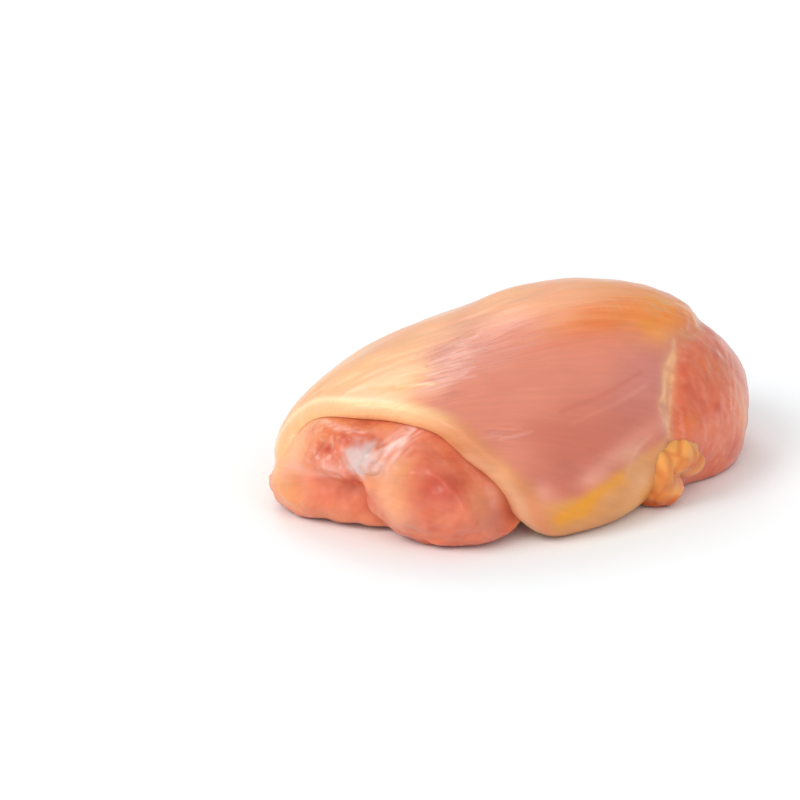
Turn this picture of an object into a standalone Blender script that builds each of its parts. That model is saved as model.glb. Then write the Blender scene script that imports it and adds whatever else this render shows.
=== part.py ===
"""A raw chicken thigh, skinned and on the bone, lying smooth side up.

The meat is one closed surface. Rays go out from a heart point in the middle of the thigh, and along
each ray the surface lies at the soft maximum of the distances at which the ray leaves the muscles,
which are ellipsoids. A taut sheet of fascia and fat covers the back of the thigh. Its front edge is a
thick lip round the cut end, where two lobes of muscle and the knuckle of the bone show. A knob of fat
is fused on at the near side, and the thigh bone runs through the meat with a gap all round.

Axes: -X is the cut end with the knuckle, +X the round muscle at the hip end, -Y the near side with the
knob of fat, +Z up. Lengths are in millimetres until a mesh is made. The mesh is then moved so that the
origin is at the table, under the middle of the thigh's box, which the design's own frame has at MIDDLE.
"""
import math
from collections import namedtuple

import bmesh
import bpy
import numpy as np
from mathutils import Matrix

MM = 0.001
MIDDLE = np.array((3.4, -0.7, 0.0))

# The covered body is an egg with its widest place at the heart. The table cuts it off with a round turn.
HEART = np.array((9.0, 0.0, 10.5))
FRONT_REACH, REAR_REACH = 60.0, 45.0
NEAR_REACH, FAR_REACH = 33.0, 34.0
CROWN_RISE = 20.4
TABLE_ROUNDING, TABLE_SINK = 2.2, 0.88

# The cut end: a face that looks out and to the near side, set in under the fascia
FACE_NORMAL = np.array((-0.754, -0.631, 0.179))
FACE_CENTRE = np.array((-43.0, -8.0, 11.0))
FACE_LEVEL = 34.0
FACE_SETBACK = 3.6

# The lip of fascia round the cut end. The cover falls toward it from a turn line behind its crest, with
# a low roll on that line, and it ends in a thin free edge. The second of two values is the one at the
# far side.
LIP_FALL, LIP_FALL_FAR = 3.4, 1.8
LIP_TURN = 7.0
LIP_ROLL, LIP_ROLL_FAR, ROLL_WIDTH = 0.6, 0.1, 2.4
LIP_EDGE, LIP_EDGE_FAR = 0.9, 0.3
LIP_BULGE, LIP_OVERHANG = 0.4, 0.6
LIP_FADE_NEAR, LIP_FADE_FAR = 4.0, 21.0
PRESSED_WIDTH = 6.0
EDGE_START, RUN_ON, APRON_SLOPE = 0.4, 9.0, 0.4

# Across the thigh, where the near values of the lip give way to the far ones: its fade, then its form
FADE_FROM, FADE_TO = -10, 10
FORM_FROM, FORM_TO = -2, 9

# How sharply forms run into one another where they meet: the higher, the smaller the rounding
FACE_SHARPNESS, LOBE_SHARPNESS, COVER_SHARPNESS = 0.8, 1.3, 1.0
APRON_SHARPNESS, LUMP_SHARPNESS = 1.5, 2.0
MISS_STEEPNESS = 3

# Places on the lip's foremost line, from the near foot over the top to the far foot, and on under the
# table
RIM = (
    (-20.9, -24.8, 0.3),
    (-23.4, -24.4, 5.4),
    (-26.5, -23.5, 11.1),
    (-30.4, -19.9, 15.7),
    (-32.6, -14.0, 19.7),
    (-35.0, -9.1, 20.7),
    (-38.6, -1.2, 20.5),
    (-41.8, 7.3, 19.2),
    (-44.1, 10.1, 16.2),
    (-46.2, 10.8, 13.2),
    (-46.8, 13.0, 9.8),
    (-44.8, 17.5, 5.0),
    (-40.5, 19.5, 0.0),
    (-38.0, 8.0, -6.0),
    (-28.0, -13.0, -7.0),
)

Muscle = namedtuple("Muscle", "centre radii yaw pitch", defaults=(0, 0))
LOBE_NEAR = Muscle((-29.6, -15.5, 9.7), (11.5, 16.0, 10.7), 35, -20)
LOBE_FAR = Muscle((-32.0, 9.6, 5.2), (14.3, 15.2, 7.8))
LOBE_CORNER = Muscle((-38.0, 12.8, 8.0), (9.2, 7.8, 6.9))
LOBE_TOP = Muscle((-35.0, 0.0, 14.5), (10.5, 13.0, 7.2))
ROUND_MUSCLE = Muscle((27.3, -8.5, 6.2), (18.2, 20.6, 16.5))
BROAD_MUSCLE = Muscle((13.8, -3.0, 18.6), (31.0, 24.6, 15.7))
FAT_SKIRT = Muscle((-7.4, -21.8, 5.4), (19.4, 12.6, 8.3))

# Creases in the surface: places along each, then its depth and width
REAR_SEAM = ((10, -32.3, 4), (10.4, -31.2, 15), (14.1, -27, 21.1), (20.7, -22.8, 25.7), (27, -20.5, 26.5),
             (34, -17.5, 25.6), (41, -9, 23), (48, 1, 16), (50, 4, 6))
SKIRT_LINE = ((1.6, -32, 12), (-7.7, -31, 9.2), (-14.2, -29.9, 8), (-21.5, -27.1, 5))
FAR_CREASE = ((-38, 24, 8), (-20, 31, 11), (0, 33.5, 12), (20, 32, 11), (36, 24, 9))
CREASES = ((REAR_SEAM, 1.1, 2.6), (SKIRT_LINE, 0.7, 2.6), (FAR_CREASE, 0.8, 3.2))

# The knob of fat at the near side: its own heart, and the round lumps that it is grown together from
FAT_HEART = np.array((11.0, -29.5, 6.0))
FAT_LUMPS = (
    Muscle((11.8, -28.8, 9.0), (6.4, 6.2, 4.3)),
    Muscle((7.0, -29.5, 6.8), (3.2, 5.2, 6.4)),
    Muscle((15.8, -28.8, 6.6), (3.9, 5.2, 3.1)),
    Muscle((9.0, -29.5, 3.4), (4.6, 5.2, 4.0)),
)

# The thigh bone, from the knuckle at the cut end to the hip
BONE_START, BONE_END = np.array((-44.3, -6.9, 14.8)), np.array((34.0, 1.0, 13.0))
BONE_ALONG = (0.0, 0.008, 0.03, 0.08, 0.14, 0.24, 0.4, 0.6, 0.8, 0.9, 0.97, 1.0)
BONE_RADIUS = (0.0, 1.9, 3.3, 4.5, 5.0, 4.3, 3.7, 3.6, 4.2, 5.4, 4.2, 0.0)
KNUCKLE_WIDER, KNUCKLE_FROM, KNUCKLE_TO = 0.25, 0.1, 0.25
BONE_GAP = 0.3

# Fineness of the grids, and how much closer the rings lie behind the lip
FACE_RINGS, LIP_RINGS, BODY_RINGS, TURNS = 17, 5, 30, 94
FRONT_CLOSER = 0.5
FAT_RINGS, FAT_TURNS = 14, 26
BONE_RINGS, BONE_TURNS = 26, 16
CREASE_ANGLE = 50

# The block that is cut away below the table, in metres
BLOCK_WIDTH, BLOCK_HEIGHT = 0.4, 0.2


def turned(muscle):
    """The axes of a muscle as rows: yaw about Z after pitch about Y."""
    yaw, pitch = math.radians(muscle.yaw), math.radians(muscle.pitch)
    about_y, about_z = Matrix.Rotation(pitch, 3, "Y"), Matrix.Rotation(yaw, 3, "Z")
    return np.array(about_z @ about_y).T


def crossing(rays, muscle, start=HEART):
    """How far along each ray from the start it leaves the muscle, falling off steeply where it misses."""
    axes = turned(muscle)
    p = axes @ (start - np.array(muscle.centre)) / muscle.radii
    q = rays @ axes.T / muscle.radii
    square, half, rest = (q * q).sum(-1), q @ p, p @ p - 1
    inside = half**2 - square * rest
    root = np.sqrt(np.abs(inside))
    return (-half + np.where(inside > 0, root, -MISS_STEEPNESS * root)) / square


def soft_max(sharpness, *lengths):
    """The largest of several lengths, rounded off where two are near each other."""
    stacked = np.stack(lengths) * sharpness
    top = stacked.max(0)
    return (top + np.log(np.exp(stacked - top).sum(0))) / sharpness


def soft_min(sharpness, *lengths):
    return -soft_max(sharpness, *[-length for length in lengths])


def smooth(low, high, x):
    """Rises from 0 at low to 1 at high, level at both ends."""
    t = np.clip((x - low) / (high - low), 0, 1)
    return t * t * (3 - 2 * t)


def egg_reach(rays):
    """Length of each ray to the egg: an ellipsoid whose half lengths differ fore and aft, near and far."""
    long = np.where(rays[..., 0] < 0, FRONT_REACH, REAR_REACH)
    wide = np.where(rays[..., 1] < 0, NEAR_REACH, FAR_REACH)
    x, y, z = rays[..., 0] / long, rays[..., 1] / wide, rays[..., 2] / CROWN_RISE
    return (x * x + y * y + z * z) ** -0.5


def plane_reach(rays, normal, level):
    """Length of each ray to a plane, and very long where the ray never meets it."""
    toward = np.maximum(rays @ normal, 0.02)
    return (level - HEART @ normal) / toward


def above_table(rays, reach):
    """Shortens the rays that would pass through the table, with a rounded turn at its edge."""
    down = np.array((0.0, 0.0, -1.0))
    return soft_min(1 / TABLE_ROUNDING, reach, plane_reach(rays, down, TABLE_SINK))


def along(places, count=60):
    """Points on a smooth curve through the places, each stretch a cubic with slopes from its neighbours."""
    places = np.array(places, float)
    slopes = np.gradient(places, axis=0)
    t = np.linspace(0, len(places) - 1, count)
    i = np.minimum(t.astype(int), len(places) - 2)
    t = (t - i)[:, None]
    return (
        (2 * t**3 - 3 * t**2 + 1) * places[i]
        + (t**3 - 2 * t**2 + t) * slopes[i]
        + (3 * t**2 - 2 * t**3) * places[i + 1]
        + (t**3 - t**2) * slopes[i + 1]
    )


def distance_to(points, curve):
    """Distance from each point to the nearest of a curve's points."""
    gaps = points[..., None, :] - curve
    return np.sqrt((gaps * gaps).sum(-1).min(-1))


def creased(points):
    """How deep the creases are at each point: a bell across each curve."""
    total = 0
    for places, depth, width in CREASES:
        total = total + depth * np.exp(-((distance_to(points, along(places)) / width) ** 2))
    return total


def meat_reach(rays):
    """Length of each ray to the bare muscle of the cut end: a face set in, with lobes standing out of it."""
    face = plane_reach(rays, FACE_NORMAL, FACE_LEVEL)
    core = soft_min(FACE_SHARPNESS, egg_reach(rays) - FACE_SETBACK, face)
    lobes = [crossing(rays, muscle) for muscle in (LOBE_NEAR, LOBE_FAR, LOBE_CORNER, LOBE_TOP)]
    return above_table(rays, soft_max(LOBE_SHARPNESS, core, *lobes))


def cover_reach(rays):
    """Length of each ray to the outside of the fascia, or of the round muscle at the hip end."""
    muscles = [crossing(rays, muscle) for muscle in (ROUND_MUSCLE, BROAD_MUSCLE, FAT_SKIRT)]
    reach = above_table(rays, soft_max(COVER_SHARPNESS, egg_reach(rays), *muscles))
    return reach - creased(HEART + rays * reach[..., None])


def face_frame():
    """Three axes at right angles: out of the cut end, to the near side, and up."""
    out = FACE_CENTRE - HEART
    out = out / np.linalg.norm(out)
    near = np.cross((0.0, 0.0, 1.0), out)
    near = near / np.linalg.norm(near)
    return out, near, np.cross(out, near)


def rays_at(polar, turn):
    """Unit rays for a polar angle from the cut end and a turn about it, evened out over the egg."""
    out, near, up = face_frame()
    v = (
        (np.cos(polar) * FRONT_REACH)[..., None] * out
        + (np.sin(polar) * np.cos(turn) * NEAR_REACH)[..., None] * near
        + (np.sin(polar) * np.sin(turn) * CROWN_RISE)[..., None] * up
    )
    return v / np.linalg.norm(v, axis=-1, keepdims=True)


def rim_polar(turn):
    """Polar angle of the lip's crest at each turn, on a smooth closed curve through the rim's places."""
    out, near, up = face_frame()
    rel = np.array(RIM) - HEART
    a, b, c = rel @ out / FRONT_REACH, rel @ near / NEAR_REACH, rel @ up / CROWN_RISE
    polar, stop = np.arctan2(np.hypot(b, c), a), np.arctan2(c, b)
    order = np.argsort(stop)
    polar, stop = polar[order], stop[order]
    stop = np.concatenate((stop[-3:] - 2 * math.pi, stop, stop[:3] + 2 * math.pi))
    polar = np.concatenate((polar[-3:], polar, polar[:3]))
    fine = along(np.stack((stop, polar), -1), 400)
    return np.interp(turn, fine[:, 0], fine[:, 1])


def body_rings():
    """Rings of points from the cut end to the hip end: over the lobes, round the lip's free edge, and on.

    Behind the edge the cover turns down to it by the square of the way still to go, and it stands up in
    a low roll where the turn begins. The lip fades out toward the table, from higher up at its far
    foot, and there the cover runs straight on into the lobes. Just before the lip the meat slopes up to
    its edge, and it is pressed back where it would stand above it.
    """
    turn = np.linspace(-math.pi, math.pi, TURNS, endpoint=False)
    rim = rim_polar(turn)
    rays = rays_at(rim, turn)
    crest = HEART + rays * cover_reach(rays)[:, None]
    full = LIP_FADE_NEAR + (LIP_FADE_FAR - LIP_FADE_NEAR) * smooth(FADE_FROM, FADE_TO, crest[:, 1])
    lip = smooth(0, 1, crest[:, 2] / full)
    mm = 1 / np.linalg.norm(crest - HEART, axis=-1)
    far = smooth(FORM_FROM, FORM_TO, crest[:, 1])
    drop = LIP_FALL + (LIP_FALL_FAR - LIP_FALL) * far
    rise = LIP_ROLL + (LIP_ROLL_FAR - LIP_ROLL) * far
    free = LIP_EDGE + (LIP_EDGE_FAR - LIP_EDGE) * far

    hidden = rim + LIP_OVERHANG * mm * lip
    share = np.linspace(0, 1, FACE_RINGS + 1)[1:, None]
    swing = np.linspace(0, math.pi, LIP_RINGS)[:, None]
    lip_polar = rim + LIP_BULGE * (1 - np.sin(swing)) * mm * lip
    lip_polar = lip_polar + (EDGE_START + RUN_ON * swing / math.pi) * mm * (1 - lip)
    steps = np.linspace(0, 1, BODY_RINGS + 1)[1:-1, None]
    steps = FRONT_CLOSER * steps + (1 - FRONT_CLOSER) * steps**2
    polar = np.concatenate((hidden * share, lip_polar, lip_polar[-1] + (math.pi - lip_polar[-1]) * steps))
    behind = (polar - rim) / mm

    front = slice(0, FACE_RINGS + LIP_RINGS)
    edge = slice(FACE_RINGS, FACE_RINGS + LIP_RINGS)
    rays = rays_at(polar, turn + 0 * polar)
    roll = rise * np.exp(-(((behind - LIP_TURN) / ROLL_WIDTH) ** 2))
    fall = drop * np.clip(1 - behind / LIP_TURN, 0, 1) ** 2
    reach = cover_reach(rays) + (roll - fall) * lip
    room = reach[front] - free
    apron = room - APRON_SLOPE * np.maximum(-behind[front] - EDGE_START, 0)
    bare = meat_reach(rays[front])
    bare = bare + (soft_max(APRON_SHARPNESS, bare, apron) - bare) * lip
    pressed = smooth(-PRESSED_WIDTH, 0.0, behind[front]) * lip
    inner = bare - np.maximum(bare - room, 0) * pressed
    rounded = reach[edge] - free / 2 * (1 + np.cos(swing))
    plain = inner[FACE_RINGS:] + (reach[edge] - inner[FACE_RINGS:]) * smooth(0, math.pi, swing)
    reach[:FACE_RINGS] = inner[:FACE_RINGS]
    reach[edge] = rounded * lip + plain * (1 - lip)

    ends = rays_at(np.array((0.0, math.pi)), np.zeros(2))
    poles = HEART + ends * np.array((meat_reach(ends)[0], cover_reach(ends)[1]))[:, None]
    return HEART + rays * reach[..., None], poles


def fat_rings():
    """The knob of fat as rings from the near side inward, each ray ending on the outermost lump."""
    def reach(rays):
        return soft_max(LUMP_SHARPNESS, *[crossing(rays, lump, FAT_HEART) for lump in FAT_LUMPS])

    polar = np.linspace(0, math.pi, FAT_RINGS + 2)[1:-1, None]
    turn = np.linspace(0, 2 * math.pi, FAT_TURNS, endpoint=False)
    across, up = np.sin(polar) * np.cos(turn), np.sin(polar) * np.sin(turn)
    rays = np.stack((across, -np.cos(polar) + 0 * turn, up), -1)
    ends = np.array(((0.0, -1.0, 0.0), (0.0, 1.0, 0.0)))
    return FAT_HEART + rays * reach(rays)[..., None], FAT_HEART + ends * reach(ends)[:, None]


def bone_rings(extra=0.0):
    """The bone as rings round a straight line, with a smooth curve of radii, and wider at the knuckle."""
    axis = BONE_END - BONE_START
    length = np.linalg.norm(axis)
    axis = axis / length
    side = np.cross((0.0, 0.0, 1.0), axis)
    side = side / np.linalg.norm(side)
    up = np.cross(axis, side)
    profile = along(np.stack((np.array(BONE_ALONG) * length, BONE_RADIUS), -1), 300)
    steps = (1 - np.cos(np.linspace(0, math.pi, BONE_RINGS + 2)[1:-1])) / 2 * length
    radius = np.interp(steps, profile[:, 0], profile[:, 1])[:, None]
    turn = np.linspace(0, 2 * math.pi, BONE_TURNS, endpoint=False)
    knuckle = 1 - smooth(KNUCKLE_FROM, KNUCKLE_TO, steps[:, None] / length)
    wider = 1 + KNUCKLE_WIDER * np.cos(turn) ** 2 * knuckle
    across = (radius * wider + extra)[..., None]
    spokes = np.cos(turn)[:, None] * side + np.sin(turn)[:, None] * up
    rings = BONE_START + steps[:, None, None] * axis + across * spokes
    return rings, (BONE_START - extra * axis, BONE_END + extra * axis)


def closed_mesh(name, rings, poles):
    """A mesh from rings of points, closed by a fan at each pole."""
    count, around = rings.shape[:2]
    points = (np.concatenate((rings.reshape(-1, 3), poles)) - MIDDLE) * MM
    first, last = count * around, count * around + 1
    faces = []
    for j in range(around):
        k = (j + 1) % around
        for i in range(count - 1):
            faces.append((i * around + j, i * around + k, (i + 1) * around + k, (i + 1) * around + j))
        faces.append((first, k, j))
        faces.append((last, (count - 1) * around + j, (count - 1) * around + k))
    mesh = bpy.data.meshes.new(name)
    mesh.from_pydata(points.tolist(), [], faces)
    bm = bmesh.new()
    bm.from_mesh(mesh)
    bmesh.ops.triangulate(bm, faces=bm.faces, quad_method="BEAUTY")
    bmesh.ops.recalc_face_normals(bm, faces=bm.faces)
    bm.to_mesh(mesh)
    bm.free()
    obj = bpy.data.objects.new(name, mesh)
    bpy.context.scene.collection.objects.link(obj)
    return obj


def below_table():
    """A block whose top is the table."""
    bpy.ops.mesh.primitive_cube_add(size=1, location=(0, 0, -BLOCK_HEIGHT / 2))
    block = bpy.context.object
    block.data.transform(block.matrix_world @ Matrix.Diagonal((BLOCK_WIDTH, BLOCK_WIDTH, BLOCK_HEIGHT, 1)))
    block.matrix_world = Matrix()
    return block


def combine(obj, other, operation):
    """Joins the other solid to the first or cuts it out, and removes it."""
    modifier = obj.modifiers.new(operation.title(), "BOOLEAN")
    modifier.operation = operation
    modifier.solver = "EXACT"
    modifier.object = other
    depsgraph = bpy.context.evaluated_depsgraph_get()
    obj.data = bpy.data.meshes.new_from_object(obj.evaluated_get(depsgraph))
    obj.modifiers.clear()
    bpy.data.objects.remove(other)


def material(name, colour, roughness):
    made = bpy.data.materials.new(name)
    made.use_nodes = True
    shader = made.node_tree.nodes["Principled BSDF"]
    shader.inputs["Base Color"].default_value = (*colour, 1)
    shader.inputs["Roughness"].default_value = roughness
    shader.inputs["Metallic"].default_value = 0
    return made


def finish(obj, made):
    obj.data.materials.clear()
    obj.data.materials.append(made)
    obj.data.shade_smooth()
    obj.data.set_sharp_from_angle(angle=math.radians(CREASE_ANGLE))


def main():
    for obj in list(bpy.data.objects):
        bpy.data.objects.remove(obj)
    meat = closed_mesh("thigh_meat", *body_rings())
    combine(meat, closed_mesh("fat", *fat_rings()), "UNION")
    combine(meat, below_table(), "DIFFERENCE")
    combine(meat, closed_mesh("hollow", *bone_rings(BONE_GAP)), "DIFFERENCE")
    finish(meat, material("raw meat under fascia", (0.66, 0.21, 0.14), 0.35))
    bone = closed_mesh("thigh_bone", *bone_rings())
    finish(bone, material("cartilage and bone", (0.75, 0.68, 0.66), 0.3))


main()
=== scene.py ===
"""A raw chicken thigh on the bone, skinned, lying smooth side up in soft studio light.

The meat, its fascia and the lip of fascia round the cut end are one closed surface. Rays go out from a
heart point in the middle of the thigh, and along each ray the surface lies at the soft maximum of the
distances at which the ray leaves the muscles, which are ellipsoids. These are the solid's own formulas
and sizes, but for the lip's edge, which stands out less here. The grid is finer, and folds, grain and
lumps are added. The colours are painted on its points, in layers of named tissues.

Lengths are in millimetres until a mesh is made. The mesh is then moved so that the origin is at the
table, under the middle of the thigh's box, which the design's own frame has at MIDDLE. -X is the cut
end, -Y the near side.
"""
import math
from collections import namedtuple

import bpy
import numpy as np
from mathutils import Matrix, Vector


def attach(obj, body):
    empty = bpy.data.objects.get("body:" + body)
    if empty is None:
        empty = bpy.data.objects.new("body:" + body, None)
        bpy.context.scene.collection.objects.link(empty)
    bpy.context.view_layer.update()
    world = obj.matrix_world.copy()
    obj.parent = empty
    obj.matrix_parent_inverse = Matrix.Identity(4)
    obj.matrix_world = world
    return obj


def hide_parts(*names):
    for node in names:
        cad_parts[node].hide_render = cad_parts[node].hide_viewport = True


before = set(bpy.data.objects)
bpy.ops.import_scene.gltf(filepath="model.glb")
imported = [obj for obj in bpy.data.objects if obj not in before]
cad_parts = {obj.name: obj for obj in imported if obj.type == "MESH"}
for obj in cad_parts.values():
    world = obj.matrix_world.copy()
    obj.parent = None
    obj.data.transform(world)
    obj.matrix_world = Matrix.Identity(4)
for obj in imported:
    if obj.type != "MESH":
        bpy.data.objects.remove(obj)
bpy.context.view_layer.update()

MM = 0.001
MIDDLE = np.array((3.4, -0.7, 0.0))

# The covered body is an egg with its widest place at the heart. The table cuts it off below.
HEART = np.array((9.0, 0.0, 10.5))
FRONT_REACH, REAR_REACH = 60.0, 45.0
NEAR_REACH, FAR_REACH = 33.0, 34.0
CROWN_RISE = 20.4

# The turn at the table's edge, and how far under the table the plane lies that the turn runs into. A ray
# whose slant to a plane is less than the least one counts as that one, so that its length stays finite.
TABLE_ROUNDING, TABLE_SINK = 2.2, 0.88
LEAST_SLANT = 0.02

# The cut end: a face that looks out and to the near side, inside a lip of fascia. Its level is the plane's
# distance along the normal, and the setback is how much smaller the egg is inside the lip.
FACE_NORMAL = np.array((-0.754, -0.631, 0.179))
FACE_CENTRE = np.array((-43.0, -8.0, 11.0))
FACE_LEVEL = 34.0
FACE_SETBACK = 3.6

# The lip: how far it falls to its edge and over what way, its roll, its edge, and how far the edge
# stands out. The far side has its own fall, roll and edge, and the form passes from one side to the
# other between two places in Y.
LIP_FALL, LIP_FALL_FAR = 3.4, 1.8
LIP_TURN, LIP_ROLL, LIP_ROLL_FAR, ROLL_WIDTH = 7.0, 0.6, 0.1, 2.4
LIP_EDGE, LIP_EDGE_FAR = 0.9, 0.3
LIP_BULGE, LIP_OVERHANG = 0.25, 0.05
FORM_FROM, FORM_TO = -2, 9

# The heights above the table over which the lip fades in, near and far, and the places in Y that this
# changes between
LIP_FADE_NEAR, LIP_FADE_FAR = 4.0, 21.0
FADE_FROM, FADE_TO = -10, 10

# The way before the lip over which the meat is pressed back, how far from the rim its slope up to the edge
# starts and how steep it is, and how far the rings run on where there is no lip
PRESSED_WIDTH = 6.0
EDGE_START, APRON_SLOPE, RUN_ON = 0.4, 0.4, 9.0

# How sharply the forms meet where two are near: a higher number makes a tighter crease. A ray that
# misses a muscle has its length cut by its distance past the edge of sight, times the steepness.
FACE_SHARPNESS, LOBE_SHARPNESS, COVER_SHARPNESS = 0.8, 1.3, 1.0
APRON_SHARPNESS, LUMP_SHARPNESS = 1.5, 2.0
MISS_STEEPNESS = 3

# Places on the foremost line of the lip, from the near foot over the top to the far foot, and on under
# the table
RIM = (
    (-20.9, -24.8, 0.3),
    (-23.4, -24.4, 5.4),
    (-26.5, -23.5, 11.1),
    (-30.4, -19.9, 15.7),
    (-32.6, -14.0, 19.7),
    (-35.0, -9.1, 20.7),
    (-38.6, -1.2, 20.5),
    (-41.8, 7.3, 19.2),
    (-44.1, 10.1, 16.2),
    (-46.2, 10.8, 13.2),
    (-46.8, 13.0, 9.8),
    (-44.8, 17.5, 5.0),
    (-40.5, 19.5, 0.0),
    (-38.0, 8.0, -6.0),
    (-28.0, -13.0, -7.0),
)

Muscle = namedtuple("Muscle", "centre radii yaw pitch", defaults=(0, 0))
LOBE_NEAR = Muscle((-29.6, -15.5, 9.7), (11.5, 16.0, 10.7), 35, -20)
LOBE_FAR = Muscle((-32.0, 9.6, 5.2), (14.3, 15.2, 7.8))
LOBE_CORNER = Muscle((-38.0, 12.8, 8.0), (9.2, 7.8, 6.9))
LOBE_TOP = Muscle((-35.0, 0.0, 14.5), (10.5, 13.0, 7.2))
ROUND_MUSCLE = Muscle((27.3, -8.5, 6.2), (18.2, 20.6, 16.5))
BROAD_MUSCLE = Muscle((13.8, -3.0, 18.6), (31.0, 24.6, 15.7))
FAT_SKIRT = Muscle((-7.4, -21.8, 5.4), (19.4, 12.6, 8.3))

# Creases in the surface: places along each, then its depth and width
REAR_SEAM = ((10, -32.3, 4), (10.4, -31.2, 15), (14.1, -27, 21.1), (20.7, -22.8, 25.7), (27, -20.5, 26.5),
             (34, -17.5, 25.6), (41, -9, 23), (48, 1, 16), (50, 4, 6))
SKIRT_LINE = ((1.6, -32, 12), (-7.7, -31, 9.2), (-14.2, -29.9, 8), (-21.5, -27.1, 5))
FAR_CREASE = ((-38, 24, 8), (-20, 31, 11), (0, 33.5, 12), (20, 32, 11), (36, 24, 9))
CREASES = ((REAR_SEAM, 1.1, 2.6), (SKIRT_LINE, 0.7, 2.6), (FAR_CREASE, 0.8, 3.2))

# The knob of fat at the near side: its own heart, and the round lumps that it is grown together from
FAT_HEART = np.array((11.0, -29.5, 6.0))
FAT_LUMPS = (
    Muscle((11.8, -28.8, 9.0), (6.4, 6.2, 4.3)),
    Muscle((7.0, -29.5, 6.8), (3.2, 5.2, 6.4)),
    Muscle((15.8, -28.8, 6.6), (3.9, 5.2, 3.1)),
    Muscle((9.0, -29.5, 3.4), (4.6, 5.2, 4.0)),
)

# The thigh bone, from the knuckle at the cut end to the hip: its radii at shares of its length, how much
# wider the knuckle is to the sides and over which shares that fades, and how uneven the bone is
BONE_START, BONE_END = np.array((-44.3, -6.9, 14.8)), np.array((34.0, 1.0, 13.0))
BONE_ALONG = (0.0, 0.008, 0.03, 0.08, 0.14, 0.24, 0.4, 0.6, 0.8, 0.9, 0.97, 1.0)
BONE_RADIUS = (0.0, 1.9, 3.3, 4.5, 5.0, 4.3, 3.7, 3.6, 4.2, 5.4, 4.2, 0.0)
KNUCKLE_WIDER, KNUCKLE_FROM, KNUCKLE_TO = 0.25, 0.1, 0.25
BONE_UNEVEN = 0.12

# Fineness of the grids, and how much closer the points lie over the top, toward the front of the body and
# toward the lip on the face. Then how round the lip's edge is, and the share of its turn that is cut meat.
FACE_RINGS, LIP_RINGS, BODY_RINGS, TURNS = 84, 20, 200, 320
TOP_CLOSER, FRONT_CLOSER, FACE_CLOSER = 0.35, 0.45, 0.9
BULGE_POWER, CUT_SHARE = 0.6, 0.25
FAT_RINGS, FAT_TURNS = 110, 150
BONE_RINGS, BONE_TURNS = 150, 90


def paint(red, green, blue):
    """A colour given in display steps of 0 to 255, as the linear light that a material takes."""
    shown = np.array((red, green, blue)) / 255
    return np.where(shown > 0.04045, ((shown + 0.055) / 1.055) ** 2.4, shown / 12.92)


# Tissues, some of whose colours also stand for painted light and shade
CREAM = paint(251, 218, 170)
BUTTER = paint(244, 179, 120)
LIP_PEACH = paint(246, 188, 137)
PALE_TAN = paint(237, 184, 145)
PEACH = paint(240, 166, 116)
TAN = paint(213, 138, 92)
SALMON = paint(218, 135, 111)
DEEP_SALMON = paint(197, 109, 90)
MAUVE = paint(202, 125, 110)
LAVENDER = paint(205, 128, 118)
PALE_PINK = paint(236, 168, 146)
ORANGE_FILM_AND_SHADE = paint(222, 116, 52)
AMBER = paint(238, 136, 24)
GOLD = paint(226, 152, 44)
OCHRE = paint(215, 149, 86)
FAT_YELLOW = paint(238, 165, 84)
FAT_FOLD_SHADE = paint(200, 82, 14)
MUSCLE_RED = paint(198, 84, 57)
MUSCLE_PINK = paint(226, 128, 92)
REAR_PINK = paint(220, 113, 76)
REAR_RED = paint(208, 94, 65)
BLOOD_AND_SHADE_RED = paint(190, 62, 38)
HAZE = paint(244, 180, 162)
PINK_TENDON_AND_GLINT = paint(248, 200, 188)
CARTILAGE = paint(218, 190, 184)


def turned(muscle):
    """The axes of a muscle as rows: yaw about Z after pitch about Y."""
    yaw, pitch = math.radians(muscle.yaw), math.radians(muscle.pitch)
    cos, sin = math.cos(pitch), math.sin(pitch)
    about_y = np.array(((cos, 0, sin), (0, 1, 0), (-sin, 0, cos)))
    cos, sin = math.cos(yaw), math.sin(yaw)
    about_z = np.array(((cos, -sin, 0), (sin, cos, 0), (0, 0, 1)))
    return (about_z @ about_y).T


def crossing(rays, muscle, start=HEART):
    """How far along each ray from the start it leaves the muscle: the larger root of a quadratic.

    Past the edge of sight there is no root, and the length falls off steeply instead.
    """
    axes = turned(muscle)
    p = axes @ (start - np.array(muscle.centre)) / muscle.radii
    q = rays @ axes.T / muscle.radii
    square, half, rest = (q * q).sum(-1), q @ p, p @ p - 1
    inside = half**2 - square * rest
    root = np.sqrt(np.abs(inside))
    return (-half + np.where(inside > 0, root, -MISS_STEEPNESS * root)) / square


def soft_max(sharpness, *lengths):
    """The largest length, rounded off where two are near: the log of the sum of exponentials."""
    stacked = np.stack(lengths) * sharpness
    top = stacked.max(0)
    return (top + np.log(np.exp(stacked - top).sum(0))) / sharpness


def soft_min(sharpness, *lengths):
    """The smallest length, rounded off in the same way."""
    return -soft_max(sharpness, *[-length for length in lengths])


def smooth(low, high, x):
    """Rises from 0 at low to 1 at high, level at both ends."""
    t = np.clip((x - low) / (high - low), 0, 1)
    return t * t * (3 - 2 * t)


def bell(points, centre, radii):
    """1 at the centre, less all round: the exponential of minus the squared distance in radii."""
    gaps = (points - np.array(centre)) / radii
    return np.exp(-(gaps * gaps).sum(-1))


def egg_reach(rays):
    """Length of each ray to the egg, an ellipsoid whose half lengths differ fore and aft, near and far."""
    x, y, z = np.moveaxis(rays, -1, 0)
    long = np.where(x < 0, FRONT_REACH, REAR_REACH)
    wide = np.where(y < 0, NEAR_REACH, FAR_REACH)
    return ((x / long) ** 2 + (y / wide) ** 2 + (z / CROWN_RISE) ** 2) ** -0.5


def plane_reach(rays, normal, level):
    """Length of each ray to a plane at a level along its normal, very long where they hardly meet."""
    toward = np.maximum(rays @ normal, LEAST_SLANT)
    return (level - HEART @ normal) / toward


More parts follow.
